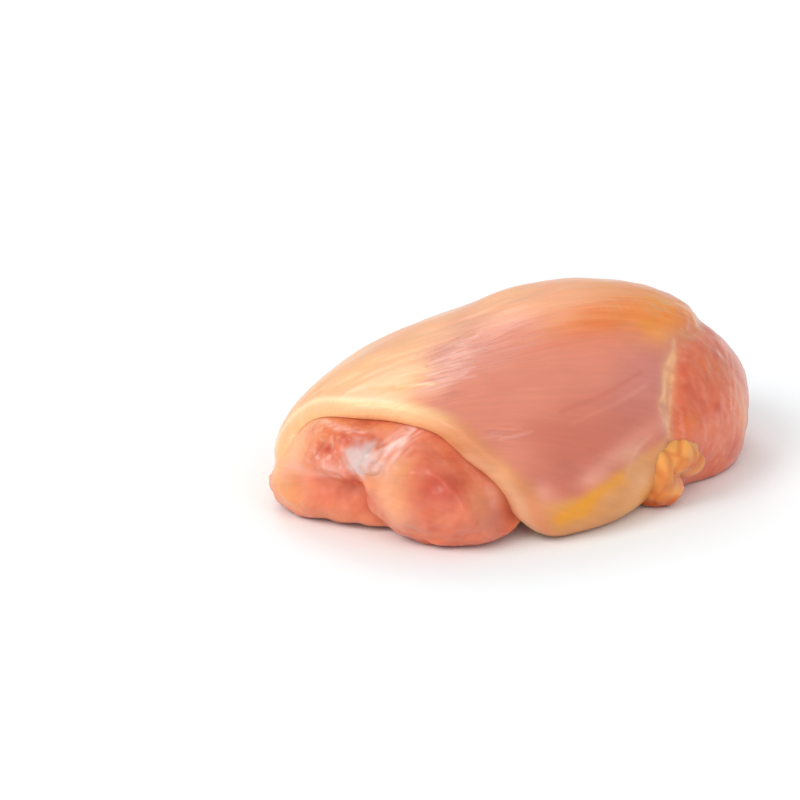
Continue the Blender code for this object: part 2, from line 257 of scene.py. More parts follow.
def above_table(rays, reach):
    """Shortens the rays that would pass through the table, with a rounded turn at its edge."""
    down = np.array((0.0, 0.0, -1.0))
    return soft_min(1 / TABLE_ROUNDING, reach, plane_reach(rays, down, TABLE_SINK))


# How finely curves are worked out: points to a place on a line, and on the rim's and the bone's curves
LINE_STEPS, RIM_STEPS, BONE_STEPS = 8, 400, 300


def along(places, count):
    """Points on a smooth curve through the places: each stretch is a cubic between its two slopes."""
    places = np.array(places, float)
    slopes = np.gradient(places, axis=0)
    t = np.linspace(0, len(places) - 1, count)
    i = np.minimum(t.astype(int), len(places) - 2)
    t = (t - i)[:, None]
    return (
        (2 * t**3 - 3 * t**2 + 1) * places[i]
        + (t**3 - 2 * t**2 + t) * slopes[i]
        + (3 * t**2 - 2 * t**3) * places[i + 1]
        + (t**3 - t**2) * slopes[i + 1]
    )


def distance_to(points, curve):
    """Distance from each point to the nearest place on the straight stretches of a curve."""
    nearest = np.full(points.shape[:-1], np.inf)
    for start, end in zip(curve[:-1], curve[1:]):
        way = end - start
        share = np.clip((points - start) @ way / (way @ way), 0, 1)
        gaps = points - start - share[..., None] * way
        nearest = np.minimum(nearest, (gaps * gaps).sum(-1))
    return np.sqrt(nearest)


def band(points, places, width):
    """1 on a smooth curve through the places and falling off as a bell to both sides of it."""
    return np.exp(-((distance_to(points, along(places, LINE_STEPS * len(places))) / width) ** 2))


# The way the grain runs behind the lip and over the top, and how many waves a field has and how their
# lengths differ
FRONT_WAY, TOP_WAY = (0.9, -0.4, 0.15), (0.86, -0.5, 0.0)
WAVE_COUNT, WAVE_SPREAD = 24, (0.7, 1.5)


def waves(points, seed, length, way=(1, 0, 0), longer=1):
    """A cloudy field about zero: cosines in random directions, of about the given wavelength, averaged.

    Where longer is more than 1, the clouds are that much longer along the given way.
    """
    draw = np.random.default_rng(seed)
    way = np.array(way) / np.linalg.norm(way)
    direction = draw.normal(size=(WAVE_COUNT, 3))
    direction /= np.linalg.norm(direction, axis=1, keepdims=True)
    pace = direction * (2 * math.pi / (length * draw.uniform(*WAVE_SPREAD, WAVE_COUNT)))[:, None]
    pace -= (1 - 1 / longer) * np.outer(pace @ way, way)
    phase = draw.uniform(0, 2 * math.pi, WAVE_COUNT)
    total = np.zeros(points.shape[:-1])
    for step, shift in zip(pace, phase):
        total += np.cos(points @ step + shift)
    return total / math.sqrt(WAVE_COUNT / 2)


def creased(points):
    """How deep the creases are at each point: a bell across each curve."""
    return sum(depth * band(points, places, width) for places, depth, width in CREASES)


def bare_meat_reach(rays):
    """Length of each ray to the muscle of the cut end: a face set back in the egg, and four lobes."""
    face = plane_reach(rays, FACE_NORMAL, FACE_LEVEL)
    core = soft_min(FACE_SHARPNESS, egg_reach(rays) - FACE_SETBACK, face)
    lobes = [crossing(rays, muscle) for muscle in (LOBE_NEAR, LOBE_FAR, LOBE_CORNER, LOBE_TOP)]
    return above_table(rays, soft_max(LOBE_SHARPNESS, core, *lobes))


def bare_cover_reach(rays):
    """Length of each ray to the outside of the fascia, or of the round muscle at the hip end."""
    muscles = [crossing(rays, muscle) for muscle in (ROUND_MUSCLE, BROAD_MUSCLE, FAT_SKIRT)]
    return above_table(rays, soft_max(COVER_SHARPNESS, egg_reach(rays), *muscles))


# Fine folds in the fascia, drawn as short strokes. Each cluster has a middle line that the strokes are
# set across, the way they run at its start and at its end, how many there are, their half length, and
# how deep they press in. The strokes of a cluster differ by a shift along their way, a share of their
# length, a bend up or down and their strength.
Strokes = namedtuple("Strokes", "start end way end_way count half_length depth width seed")
STROKE_SHIFTS, STROKE_SHARES = (-3.0, 3.0), (0.6, 1.2)
STROKE_BENDS, STROKE_STRENGTHS = (-0.4, 0.4), (0.5, 1.0)
WRINKLES = Strokes(
    (-27.0, -9.8, 26.0), (-12.5, -0.5, 29.7), (0.86, -0.50, 0.08), (0.98, -0.05, 0.20),
    count=19, half_length=3.4, depth=0.20, width=0.30, seed=11,
)
# Dark lines among the wrinkles, which press in nowhere: painted shade between their crests
WRINKLE_SHADES = Strokes(
    (-26.0, -8.6, 26.4), (-13.5, 0.5, 29.8), (0.86, -0.50, 0.08), (0.98, -0.05, 0.20),
    count=11, half_length=3.0, depth=0.0, width=0.28, seed=17,
)
# Ridges behind the lip, whose crests are painted cream as painted highlight
FRONT_HIGHLIT_RIDGES = Strokes(
    (-33.0, 11.0, 23.2), (-30.5, -4.5, 25.4), (0.78, -0.50, 0.36), (0.68, -0.70, 0.18),
    count=9, half_length=4.2, depth=-0.20, width=0.60, seed=12,
)
LOW_WRINKLES = Strokes(
    (-25.5, -22.2, 20.2), (-24.6, -23.4, 19.3), (0.93, -0.34, 0.08), (0.93, -0.34, 0.08),
    count=3, half_length=2.6, depth=0.14, width=0.28, seed=13,
)
REAR_STREAKS = Strokes(
    (19.5, -31.9, 10.5), (33.0, -27.6, 11.5), (0.05, 0.08, 1.0), (-0.1, 0.1, 1.0),
    count=10, half_length=2.4, depth=-0.08, width=0.55, seed=14,
)

# A vein under the fascia, with a pale cord of tissue below it, and the strands of the seam before the
# round muscle
VEIN = ((-12.0, -25.0, 21.5), (-2.5, -25.7, 22.5), (8.4, -25.6, 24.5))
VEIN_CORD = ((-11.0, -27.0, 19.6), (-1.0, -27.6, 21.0), (8.0, -27.4, 22.6))
SEAM_STRANDS = (
    ((19.5, -22.9, 25.8), (15.6, -25.4, 23.8), (12.4, -27.9, 21), (10.4, -29.7, 18.6), (9.2, -31, 15.6)),
    ((21.2, -21.6, 26.7), (17.9, -24.6, 24.3), (15, -27, 21.6), (12.6, -28.9, 19.1), (9.9, -31, 15.4),
     (9.6, -31.5, 13.4)),
    ((17.9, -24.1, 24.9), (14, -26.1, 23.4), (11.5, -28.3, 20.6), (9, -29.9, 19.3), (8.4, -31, 16.4)),
)

# The far side: veins, pale lines and streaks in the fascia, and a band of fat along its crease
FAR_VEINS = (
    ((-14, 30.0, 17.5), (-4, 31.0, 18.5), (6, 30.8, 19.5), (16, 29.5, 20.0), (24, 26.5, 20.5)),
    ((6, 30.8, 19.5), (12, 32.0, 16.5), (20, 31.9, 14.0), (26, 30.9, 11.0)),
)
FAR_LINES = (
    ((-10, 28.4, 20.2), (4, 26.6, 23.0), (16, 25.0, 23.4), (28, 20.8, 24.2), (36, 15.5, 24.0)),
    ((18, 32.0, 12.5), (28, 29.6, 15.5), (37, 24.0, 18.0), (43, 18.0, 17.5)),
    ((-34, 21.6, 14.0), (-26, 26.3, 13.0), (-16, 29.8, 12.5), (-6, 32.0, 13.5)),
)
FAR_FAT = ((-31, 25, 8.5), (-18, 29.6, 8.6), (-6, 32.4, 9.4), (6, 33.5, 9), (18, 32.6, 8.2),
           (28, 30.3, 7.6))
FAR_STREAKS = Strokes(
    (-16.0, 30.0, 15.0), (18.0, 32.0, 16.5), (0.97, 0.10, 0.12), (0.97, -0.08, 0.10),
    count=16, half_length=3.6, depth=0.12, width=0.38, seed=15,
)

# The seam before the round muscle in plan: x - y along it, and the shifts that bend it, each between
# two places in X. Then its softness before and after, and how ragged it gets on the hidden side,
# between two places in Y.
SEAM_PLAN = 41.2
SEAM_BENDS = ((10.0, 17, 34), (-4.5, 38, 50))
SEAM_SOFTNESS = (0.5, 0.9)
SEAM_RAGGED, SEAM_RAGGED_FROM_TO = 1.6, (-6, 8)

# Fatty and pleated places on the cover by centre and radii, and the ramp in Z to the pleats over the top
FATTY_PLACE = ((25.5, -15.0, 30.5), (11.0, 7.0, 5.0))
AMBER_PLACE = ((26.0, -14.6, 30.5), (12.5, 7.5, 5.0))
GOLD_FOOT = ((-15.5, -33.1, 5.0), (4.0, 3.0, 2.0))
LOW_FAN = ((-25.0, -22.8, 19.8), (4, 3, 2.5))
PLEATED_CROWN_Z = (24, 30)

# Lines on the cover: the sheen behind the lip, the membrane over the fat skirt, the streak of golden fat
# along its foot, and the pale lines of the round muscle
SHEEN_LINE = ((-28.0, -8.5, 25.6), (-21.0, -5.8, 27.5), (-16.0, -4.2, 28.6))
MEMBRANE_EDGE = ((10, -31.2, 17), (4.5, -31.6, 16), (-0.5, -31.7, 14.8), (-5.3, -31.6, 13),
                 (-10.5, -31.9, 10.8))
MEMBRANE_LINE = ((4.2, -31.8, 15.0), (1.0, -31.9, 13.2), (-0.8, -32.3, 11.2), (-2.6, -33.0, 9.2))
GOLD_STREAK = ((-4.4, -33, 9), (-7.4, -33.3, 8.5), (-11.1, -33.4, 7.8), (-15, -33.2, 6),
               (-18.6, -32.1, 4.6))
REAR_LINES = (
    ((43.2, -12.7, 21.3), (39.7, -19, 19.6), (34.9, -25, 17.2), (31.2, -28.5, 13.6), (29.8, -29.3, 10.5)),
    ((41.0, -15.5, 21.6), (36.5, -22.0, 20.0), (31.8, -27.0, 17.0), (29.0, -29.2, 13.4)),
)

# Ridges and grooves on the cover: the lines that they follow, how far they stand out, and their width
RIDGES = (
    ((VEIN,), -0.10, 0.4),
    ((VEIN_CORD,), 0.07, 0.45),
    ((REAR_SEAM,), -0.2, 1.1),
    (SEAM_STRANDS, 0.14, 0.4),
    (REAR_LINES, 0.12, 0.45),
    ((MEMBRANE_EDGE,), 0.15, 1.4),
    ((MEMBRANE_LINE,), 0.12, 0.5),
    (FAR_VEINS + FAR_LINES, 0.10, 0.5),
)


def stroked(points, strokes):
    """How strongly each point lies on one of a cluster's strokes, each a bell across a short line."""
    draw = np.random.default_rng(strokes.seed)
    total = np.zeros(points.shape[:-1])
    for share in np.linspace(0, 1, strokes.count):
        way = np.array(strokes.way) * (1 - share) + np.array(strokes.end_way) * share
        place = np.array(strokes.start) * (1 - share) + np.array(strokes.end) * share
        place = place + way * draw.uniform(*STROKE_SHIFTS)
        half = way * strokes.half_length * draw.uniform(*STROKE_SHARES)
        bend = np.array((0.0, 0.0, draw.uniform(*STROKE_BENDS)))
        line = np.array((place - half, place + bend, place + half))
        strength = draw.uniform(*STROKE_STRENGTHS)
        total = total + strength * np.exp(-((distance_to(points, line) / strokes.width) ** 2))
    return total


def cover_relief(points):
    """What stands out of the smooth cover, in mm: swells, grain, ridges and fat, less the folds."""
    swells = 0.10 * waves(points, seed=1, length=15.0)
    grain = 0.035 * waves(points, seed=2, length=2.6, way=FRONT_WAY, longer=6)
    clusters = (WRINKLES, FRONT_HIGHLIT_RIDGES, LOW_WRINKLES, REAR_STREAKS, FAR_STREAKS)
    folds = sum(cluster.depth * stroked(points, cluster) for cluster in clusters)
    ridges = sum(height * band(points, line, width) for lines, height, width in RIDGES for line in lines)
    mottles = 0.05 * waves(points, seed=3, length=4.0) * round_share(points)
    fatty = 0.10 * waves(points, seed=7, length=2.6) * bell(points, *FATTY_PLACE)
    far_fat = (0.12 + 0.12 * waves(points, seed=8, length=3.2)) * band(points, FAR_FAT, 2.4)
    return swells + grain - folds + ridges + mottles + fatty + far_fat


def pleated(points):
    """How finely the fascia is pleated: most along the wrinkles behind the lip, a little over the top."""
    fan = band(points, (WRINKLES.start, WRINKLES.end), 4.5)
    crown = smooth(*PLEATED_CROWN_Z, points[..., 2])
    return np.minimum(fan + 0.8 * bell(points, *LOW_FAN) + 0.18 * crown, 1)


def round_share(points):
    """1 on the round muscle at the hip end and 0 before its seam, whose plan is a bent line."""
    x, y = points[..., 0], points[..., 1]
    seam = SEAM_PLAN + sum(shift * smooth(start, end, x) for shift, start, end in SEAM_BENDS)
    ragged = SEAM_RAGGED * smooth(*SEAM_RAGGED_FROM_TO, y)
    seam = seam + ragged * waves(points, seed=9, length=9.0)
    before, after = SEAM_SOFTNESS
    return smooth(-before - ragged, after + ragged, (x - y - seam) / math.sqrt(2))


# Where the cut meat is torn to crumbs: centre and radii of each place
CRUMBLY_PLACES = (((-45.2, 0.0, 14.3), (5, 5.0, 3.0)), ((-42.6, 1.5, 18.6), (4, 6.0, 1.8)))

# Lumps and pits on the cut face: centre, radii, and how far each stands out
FACE_LUMPS = (
    ((-45.3, -1.4, 13.5), (2.8, 2.4, 2.3), 0.65),
    ((-45.0, 0.2, 16.3), (1.7, 1.8, 1.0), -0.8),
    ((-45.2, 3.0, 16.6), (1.6, 1.2, 0.8), -0.6),
    ((-46.0, 5.4, 10.5), (2.5, 3.0, 0.8), -0.5),
    ((-41.5, -5.2, 10.0), (2.0, 1.2, 4.5), -0.8),
    ((-43.1, -7.9, 15.6), (3.0, 5.0, 4.6), 0.2),
    ((-42.6, 5.2, 18.2), (2.0, 2.5, 1.2), 0.4),
)

# Lines on the cut face: the tendon over its top and the way that its fibres run, the near lobe's pale
# border, a pale streak and a red one below the knuckle, the gap between the lobes, and painted light under
# the lip where the lip shades the face
TENDON = ((-42.0, -9.6, 15.4), (-40.0, -10.6, 17.0), (-37.4, -10.8, 18.6), (-34.6, -10.6, 19.6))
TENDON_WAY = (0.86, -0.12, 0.49)
LOBE_BORDER = ((-41.2, -11.8, 14.2), (-41.8, -11.8, 12.2), (-42.5, -12, 9.6), (-42.4, -13.2, 7.4),
               (-41.9, -15, 5.6))
PALE_STREAK = ((-45.6, 10.0, 10.6), (-45.7, 7.0, 10.6), (-44.8, 2.9, 10.6), (-43.9, -1.6, 10.9))
LOBE_GAP = ((-44.5, -5.0, 12.6), (-41.5, -4.8, 9.1), (-40.0, -5.0, 4.6), (-38.7, -6.5, 2.3))
RED_LINE = ((-45.2, 6.0, 9.4), (-44.8, 2.7, 9.5), (-44.0, -1.2, 9.9), (-43.2, -4.2, 11.2))
UNDER_LIP_LIGHT = ((-31.0, -20.2, 14.9), (-29.9, -22.0, 12.9), (-28.8, -23.4, 10.9), (-28.2, -24.2, 8.6))


def crumbly(points):
    """1 where the cut meat is torn to crumbs, and 0 elsewhere: bells with a sum of at most 1."""
    return np.minimum(sum(bell(points, *place) for place in CRUMBLY_PLACES), 1)


def face_relief(points):
    """What stands out of the smooth cut face, in mm: clouds, lumps, pits and the tendon, less the gap."""
    grain = 0.28 * waves(points, seed=4, length=7.0) + 0.11 * waves(points, seed=5, length=2.6)
    lumps = sum(height * bell(points, centre, radii) for centre, radii, height in FACE_LUMPS)
    fine = 0.05 * waves(points, seed=6, length=1.4) * crumbly(points)
    return grain + fine + lumps + 0.55 * band(points, TENDON, 1.3) - 0.5 * band(points, LOBE_GAP, 0.9)


def cover_reach(rays):
    """Length of each ray to the cover: the smooth one, less its creases, with its relief added."""
    reach = bare_cover_reach(rays)
    points = HEART + rays * reach[..., None]
    return reach - creased(points) + cover_relief(points)


def meat_reach(rays):
    """Length of each ray to the cut end: the smooth one, with its relief added."""
    reach = bare_meat_reach(rays)
    return reach + face_relief(HEART + rays * reach[..., None])


def face_frame():
    """Three axes at right angles: out of the cut end, to the near side, and up."""
    out = FACE_CENTRE - HEART
    out = out / np.linalg.norm(out)
    near = np.cross((0.0, 0.0, 1.0), out)
    near = near / np.linalg.norm(near)
    return out, near, np.cross(out, near)


def rays_at(polar, turn):
    """Unit rays for a polar angle from the cut end and a turn about it, evened out over the egg."""
    out, near, up = face_frame()
    v = (
        (np.cos(polar) * FRONT_REACH)[..., None] * out
        + (np.sin(polar) * np.cos(turn) * NEAR_REACH)[..., None] * near
        + (np.sin(polar) * np.sin(turn) * CROWN_RISE)[..., None] * up
    )
    return v / np.linalg.norm(v, axis=-1, keepdims=True)


def rim_polar(turn):
    """Polar angle of the lip's crest at each turn, on a smooth closed curve through the rim."""
    out, near, up = face_frame()
    rel = np.array(RIM) - HEART
    a, b, c = rel @ out / FRONT_REACH, rel @ near / NEAR_REACH, rel @ up / CROWN_RISE
    polar, stop = np.arctan2(np.hypot(b, c), a), np.arctan2(c, b)
    order = np.argsort(stop)
    polar, stop = polar[order], stop[order]
    stop = np.concatenate((stop[-3:] - 2 * math.pi, stop, stop[:3] + 2 * math.pi))
    polar = np.concatenate((polar[-3:], polar, polar[:3]))
    fine = along(np.stack((stop, polar), -1), RIM_STEPS)
    return np.interp(turn, fine[:, 0], fine[:, 1])


def meat_grid():
    """Rings of points from the cut end to the hip end, and where each point lies about the lip.

    The rings pass over the lobes, round the free edge of the lip, which is half round, and on over the
    body. Behind that edge the cover turns down to it by the square of the way still to go, and it
    stands up in a low roll where the turn begins. The lip's size fades out toward the table, and there
    the cover runs straight on into the lobes. Just before the lip the meat slopes up to its edge, and
    it is pressed back where it would stand above it. Points below the table are lifted to it. With the
    rings come the distance in mm behind the edge, the share of cut meat, the share of the edge's under
    side, and the lip's size.
    """
    even = np.linspace(-math.pi, math.pi, TURNS, endpoint=False)
    turn = even + TOP_CLOSER * np.cos(even)
    rim = rim_polar(turn)
    rays = rays_at(rim, turn)
    crest = HEART + rays * bare_cover_reach(rays)[:, None]
    full = LIP_FADE_NEAR + (LIP_FADE_FAR - LIP_FADE_NEAR) * smooth(FADE_FROM, FADE_TO, crest[:, 1])
    lip = smooth(0, 1, crest[:, 2] / full)
    mm = 1 / np.linalg.norm(crest - HEART, axis=-1)
    far = smooth(FORM_FROM, FORM_TO, crest[:, 1])
    drop = LIP_FALL + (LIP_FALL_FAR - LIP_FALL) * far
    free = LIP_EDGE + (LIP_EDGE_FAR - LIP_EDGE) * far
    hidden = rim + LIP_OVERHANG * mm * lip

    share = np.linspace(0, 1, FACE_RINGS + 1)[1:, None] ** FACE_CLOSER
    swing = np.linspace(0, math.pi, LIP_RINGS)[:, None]
    bulge = LIP_BULGE * (1 - np.sin(swing) ** BULGE_POWER)
    run_on = EDGE_START + RUN_ON * swing / math.pi
    lip_polar = rim + (bulge * lip + run_on * (1 - lip)) * mm
    steps = np.linspace(0, 1, BODY_RINGS + 1)[1:-1, None]
    steps = FRONT_CLOSER * steps + (1 - FRONT_CLOSER) * steps**2
    polar = np.concatenate((hidden * share, lip_polar, lip_polar[-1] + (math.pi - lip_polar[-1]) * steps))
    behind = (polar - rim) / mm

    front = slice(0, FACE_RINGS + LIP_RINGS)
    edge = slice(FACE_RINGS, FACE_RINGS + LIP_RINGS)
    rays = rays_at(polar, turn + 0 * polar)
    roll = LIP_ROLL + (LIP_ROLL_FAR - LIP_ROLL) * far
    roll = roll * np.exp(-(((behind - LIP_TURN) / ROLL_WIDTH) ** 2))
    fall = drop * np.clip(1 - behind / LIP_TURN, 0, 1) ** 2
    outer = cover_reach(rays) + (roll - fall) * lip
    slope = outer[front] - free - APRON_SLOPE * np.maximum(-behind[front] - EDGE_START, 0)
    bare = meat_reach(rays[front])
    bare = bare + (soft_max(APRON_SHARPNESS, bare, slope) - bare) * lip
    pressed = smooth(-PRESSED_WIDTH, 0.0, behind[front]) * lip
    inner = bare - np.maximum(bare - (outer[front] - free), 0) * pressed
    reach = outer.copy()
    reach[:FACE_RINGS] = inner[:FACE_RINGS]
    rounded = outer[edge] - free / 2 * (1 + np.cos(swing))
    plain = inner[FACE_RINGS:] + (outer[edge] - inner[FACE_RINGS:]) * smooth(0, math.pi, swing)
    reach[edge] = rounded * lip + plain * (1 - lip)
    rings = HEART + rays * reach[..., None]
    ends = rays_at(np.array((0.0, math.pi)), np.zeros(2))
    poles = HEART + ends * np.array((meat_reach(ends)[0], cover_reach(ends)[1]))[:, None]

    cut, under = np.zeros_like(reach), np.zeros_like(reach)
    cut[:FACE_RINGS] = 1
    cut[edge] = 1 - smooth(0.0, CUT_SHARE, swing / math.pi)
    under[front] = 1
    under[edge] = 1 - swing / math.pi
    rings[..., 2] = np.maximum(rings[..., 2], 0)
    return rings, poles, behind, cut, under, np.broadcast_to(lip, reach.shape)


# A spot is a soft patch of one tissue: its colour, how much of it shows, its centre, and its radii
Spot = namedtuple("Spot", "colour share centre radii")

# The near side: mauve muscle that shows through the fascia
NEAR_SPOTS = (
    Spot(MAUVE, 0.85, (5.5, -27.5, 22.0), (9, 7, 5.5)),
    Spot(LAVENDER, 0.8, (10.5, -26.0, 24.5), (6, 5, 4.5)),
)

# The crown and the slope behind the lip
CROWN_SPOTS = (
    Spot(BUTTER, 0.7, (-19.3, 9.1, 27.7), (5, 5, 3)),
    Spot(PEACH, 0.8, (-15.0, 15.0, 26.5), (9, 6, 4)),
    Spot(BUTTER, 0.45, (1.5, 7.0, 31.5), (9, 5, 3)),
    Spot(PEACH, 0.5, (-15.0, 14.2, 27.2), (7, 5, 3)),
    Spot(BUTTER, 0.6, (-6.4, 12.6, 29.2), (6, 4, 2.5)),
    Spot(BUTTER, 0.5, (8.9, 7.4, 32.8), (7, 4, 2.5)),
    Spot(FAT_YELLOW, 0.5, (21.2, -5.4, 33.8), (5, 4, 2)),
    Spot(LIP_PEACH, 0.55, (-12.4, 3.8, 29.4), (5, 4, 2)),
)

# Round the amber patch of fat before the seam
PATCH_SPOTS = (
    Spot(ORANGE_FILM_AND_SHADE, 0.55, (17.6, -19.2, 30.2), (3.2, 2.4, 2.0)),
    Spot(AMBER, 0.6, (23.2, -18.4, 29.7), (4.0, 2.6, 2.4)),
    Spot(BUTTER, 0.4, (35.2, -13.5, 27.4), (4.5, 4, 3)),
    Spot(FAT_YELLOW, 0.5, (17.6, -21.4, 28.6), (4.0, 2.0, 2.0)),
    Spot(GOLD, 0.6, (27.4, -12.0, 31.6), (4.5, 3.5, 2.0)),
    Spot(GOLD, 0.5, (16.6, -19.4, 30.3), (2.4, 2.0, 1.6)),
)

# Pale membrane over the top of the fat skirt
MEMBRANE_SPOTS = (
    Spot(PALE_PINK, 0.65, (-21.5, -29.1, 9.4), (2.8, 2.8, 1.7)),
    Spot(PALE_PINK, 0.6, (-9.9, -32.2, 10.2), (4.4, 3.0, 1.4)),
    Spot(PALE_TAN, 0.45, (-0.8, -31.9, 12.6), (3.4, 2.4, 1.8)),
)

# The fat skirt behind the streak of gold, with a tall tan strip up the knob's left side that is painted
# shade
SKIRT_SPOTS = (
    Spot(PALE_TAN, 0.4, (0.5, -33.2, 7.5), (4.0, 2.5, 3.0)),
    Spot(PALE_TAN, 0.2, (-8.1, -33.9, 7.2), (2.5, 2.5, 1.6)),
    # painted shade up the left side of the knob of fat
    Spot(TAN, 0.4, (4.8, -32.2, 9.5), (1.8, 2.0, 5.0)),
    Spot(FAT_YELLOW, 0.6, (0.8, -33.2, 4.0), (4.5, 2.5, 2.6)),
)

# Orange film on the round muscle
ROUND_SPOTS = (
    Spot(ORANGE_FILM_AND_SHADE, 0.8, (15.7, -31.6, 14.7), (2.0, 2.5, 1.6)),
    Spot(ORANGE_FILM_AND_SHADE, 0.6, (27.5, -24.7, 21.7), (4.5, 4.5, 2.6)),
)

# The pale rim and the red heart of the round muscle
ROUND_EDGE_SPOTS = (
    Spot(PEACH, 0.5, (35.5, -26.8, 11.5), (3.6, 3.6, 6.5)),
    Spot(REAR_RED, 0.6, (18.6, -28.8, 19.0), (3.6, 3.0, 5.0)),
)

# Pale meat from the tendon to the far lobe; the first spot, just under the lip, is painted light where the
# lip shades the meat
UPPER_SPOTS = (
    # painted light under the lip
    Spot(PEACH, 0.5, (-37.4, -7.0, 20.4), (3, 2.4, 1.2)),
    Spot(PEACH, 0.7, (-45.0, 8.0, 14.5), (4, 4, 4.5)),
    Spot(PALE_TAN, 0.8, (-45.4, 8.8, 13.9), (3.4, 2.8, 3.6)),
    Spot(PEACH, 0.3, (-44.2, 3.4, 17.4), (2.5, 2.5, 1.2)),
)

# The near lobe beside its pale border
LOBE_RIM_SPOTS = (
    Spot(OCHRE, 0.5, (-40.9, -14.2, 14.6), (3, 2.4, 3.4)),
    Spot(PEACH, 0.55, (-42.0, -14.6, 9.4), (2.6, 2.6, 2.6)),
)

# The foot of the near lobe, with two spots of painted light under the lip's near side where the lip shades
# the meat, and the yellow side of the far lobe
LOWER_SPOTS = (
    Spot(MAUVE, 0.5, (-40.6, -17.6, 4.4), (3.5, 3.5, 2.2)),
    # painted light under the lip's near side
    Spot(PEACH, 0.45, (-31.6, -24.8, 9.6), (2.6, 2.6, 3.0)),
    Spot(MAUVE, 0.75, (-28.4, -25.2, 5.6), (3.5, 3.5, 3.6)),
    # painted light under the lip's near side
    Spot(PALE_PINK, 0.7, (-27.4, -23.4, 9.6), (2.4, 2.0, 2.8)),
    Spot(FAT_YELLOW, 0.55, (-47.0, 9.6, 6.4), (4, 3.5, 3.2)),
    Spot(LIP_PEACH, 0.85, (-46.4, 13.0, 9.2), (3.5, 2.8, 4.2)),
    Spot(PEACH, 0.5, (-46.6, 9.1, 3.4), (3, 3.5, 2.0)),
)

# Whitish film below the knuckle and on the far lobe
HAZE_SPOTS = (
    Spot(HAZE, 0.7, (-46.0, -1.0, 12.8), (2.8, 2.4, 1.7)),
    Spot(HAZE, 0.25, (-44.7, -3.6, 12.8), (2, 1.8, 1.2)),
    Spot(HAZE, 0.2, (-46.3, 10.4, 9.7), (2.5, 1.8, 3.0)),
)

# Red meat over the knuckle, a faint peach spot just under the lip that is painted light where the lip
# shades the meat, and blood spots
BLOOD_SPOTS = (
    Spot(MUSCLE_RED, 0.55, (-43.4, -3.6, 18.0), (2.5, 3.6, 0.9)),
    # painted light under the lip
    Spot(PEACH, 0.15, (-40.4, 0.2, 20.0), (3, 4.4, 1.2)),
    Spot(BLOOD_AND_SHADE_RED, 0.95, (-44.8, 0.2, 15.9), (1.4, 1.4, 0.7)),
    Spot(BLOOD_AND_SHADE_RED, 0.3, (-45.2, 3.0, 16.2), (1.4, 1.2, 0.8)),
    Spot(BLOOD_AND_SHADE_RED, 0.6, (-42.8, -3.8, 11.0), (1.6, 1.6, 1.0)),
)

# Painted orange shade in a fold of the knob of fat and along its left edge, and a pink film on it
FAT_SPOTS = (
    Spot(FAT_FOLD_SHADE, 0.75, (13.6, -33.6, 7.6), (3.2, 3.0, 1.2)),
    Spot(PALE_PINK, 0.6, (12.5, -34.0, 4.6), (2.6, 3.0, 1.8)),
    Spot(FAT_FOLD_SHADE, 0.35, (4.8, -32.0, 4.6), (1.6, 2.5, 3.6)),
)

# The cover's single spots: film over the crown, the far side, and fat and film at the seam
CROWN_FILM = Spot(ORANGE_FILM_AND_SHADE, 0.95, (11.0, -14.5, 32.2), (14, 5.2, 3.0))
FAR_MAUVE = Spot(MAUVE, 0.5, (26, 28, 18), (9, 7, 5))
FAR_FILM = Spot(ORANGE_FILM_AND_SHADE, 0.4, (2, 27.5, 23), (12, 5, 3))
FAR_PALE = Spot(PALE_PINK, 0.35, (-8, 31, 15.5), (12, 5, 3.5))
SEAM_FAT = Spot(FAT_YELLOW, 0.5, (14.7, -26.4, 22.8), (1.6, 1.6, 2.4))
SEAM_FILM = Spot(ORANGE_FILM_AND_SHADE, 0.45, (30.2, -18.4, 26.2), (4.0, 3.0, 2.6))
ROUND_BLOOD = Spot(BLOOD_AND_SHADE_RED, 0.25, (20, -30, 16), (9, 6, 8))

# Single spots of the lip and the cut face: painted light on the lip's near side where its turn shades it,
# the near lobe's heart, film under the roll, and the gap
LIP_LIGHT_PATCH = Spot(LIP_PEACH, 0.5, (-27.1, -25.1, 12.4), (2.5, 2.5, 4.0))
LOBE_HEART = Spot(MUSCLE_RED, 0.95, (-38.2, -21.2, 12.6), (5.5, 4.2, 3.8))
LOBE_BLOOD = Spot(BLOOD_AND_SHADE_RED, 0.38, (-38.4, -22.0, 12.8), (4.5, 3.2, 2.8))
UNDER_ROLL_FILM = Spot(ORANGE_FILM_AND_SHADE, 0.7, (-42.8, 1.8, 18.8), (4, 5, 1.9))
OVER_KNUCKLE = Spot(MUSCLE_RED, 0.75, (-42.0, -3.2, 18.8), (4, 4.0, 1.9))
GAP_PATCH = Spot(PEACH, 0.6, (-43.3, -8.6, 11.6), (2.4, 2.0, 1.6))


def mixed(tint, colour, share):
    """Moves the tint toward a colour by a share from 0 to 1."""
    return tint + (colour - tint) * np.clip(share, 0, 1)[..., None]


def painted(p, ground, layers):
    """A ground colour, with each layer's colour mixed in by its share, in the order given."""
    tint = np.zeros(p.shape) + ground
    for colour, share in layers:
        tint = mixed(tint, colour, share)
    return tint


def spots(p, *chosen, cloud=1):
    """The chosen spots as layers, the share of each being its bell times its own share and the cloud."""
    return [(spot.colour, spot.share * bell(p, spot.centre, spot.radii) * cloud) for spot in chosen]


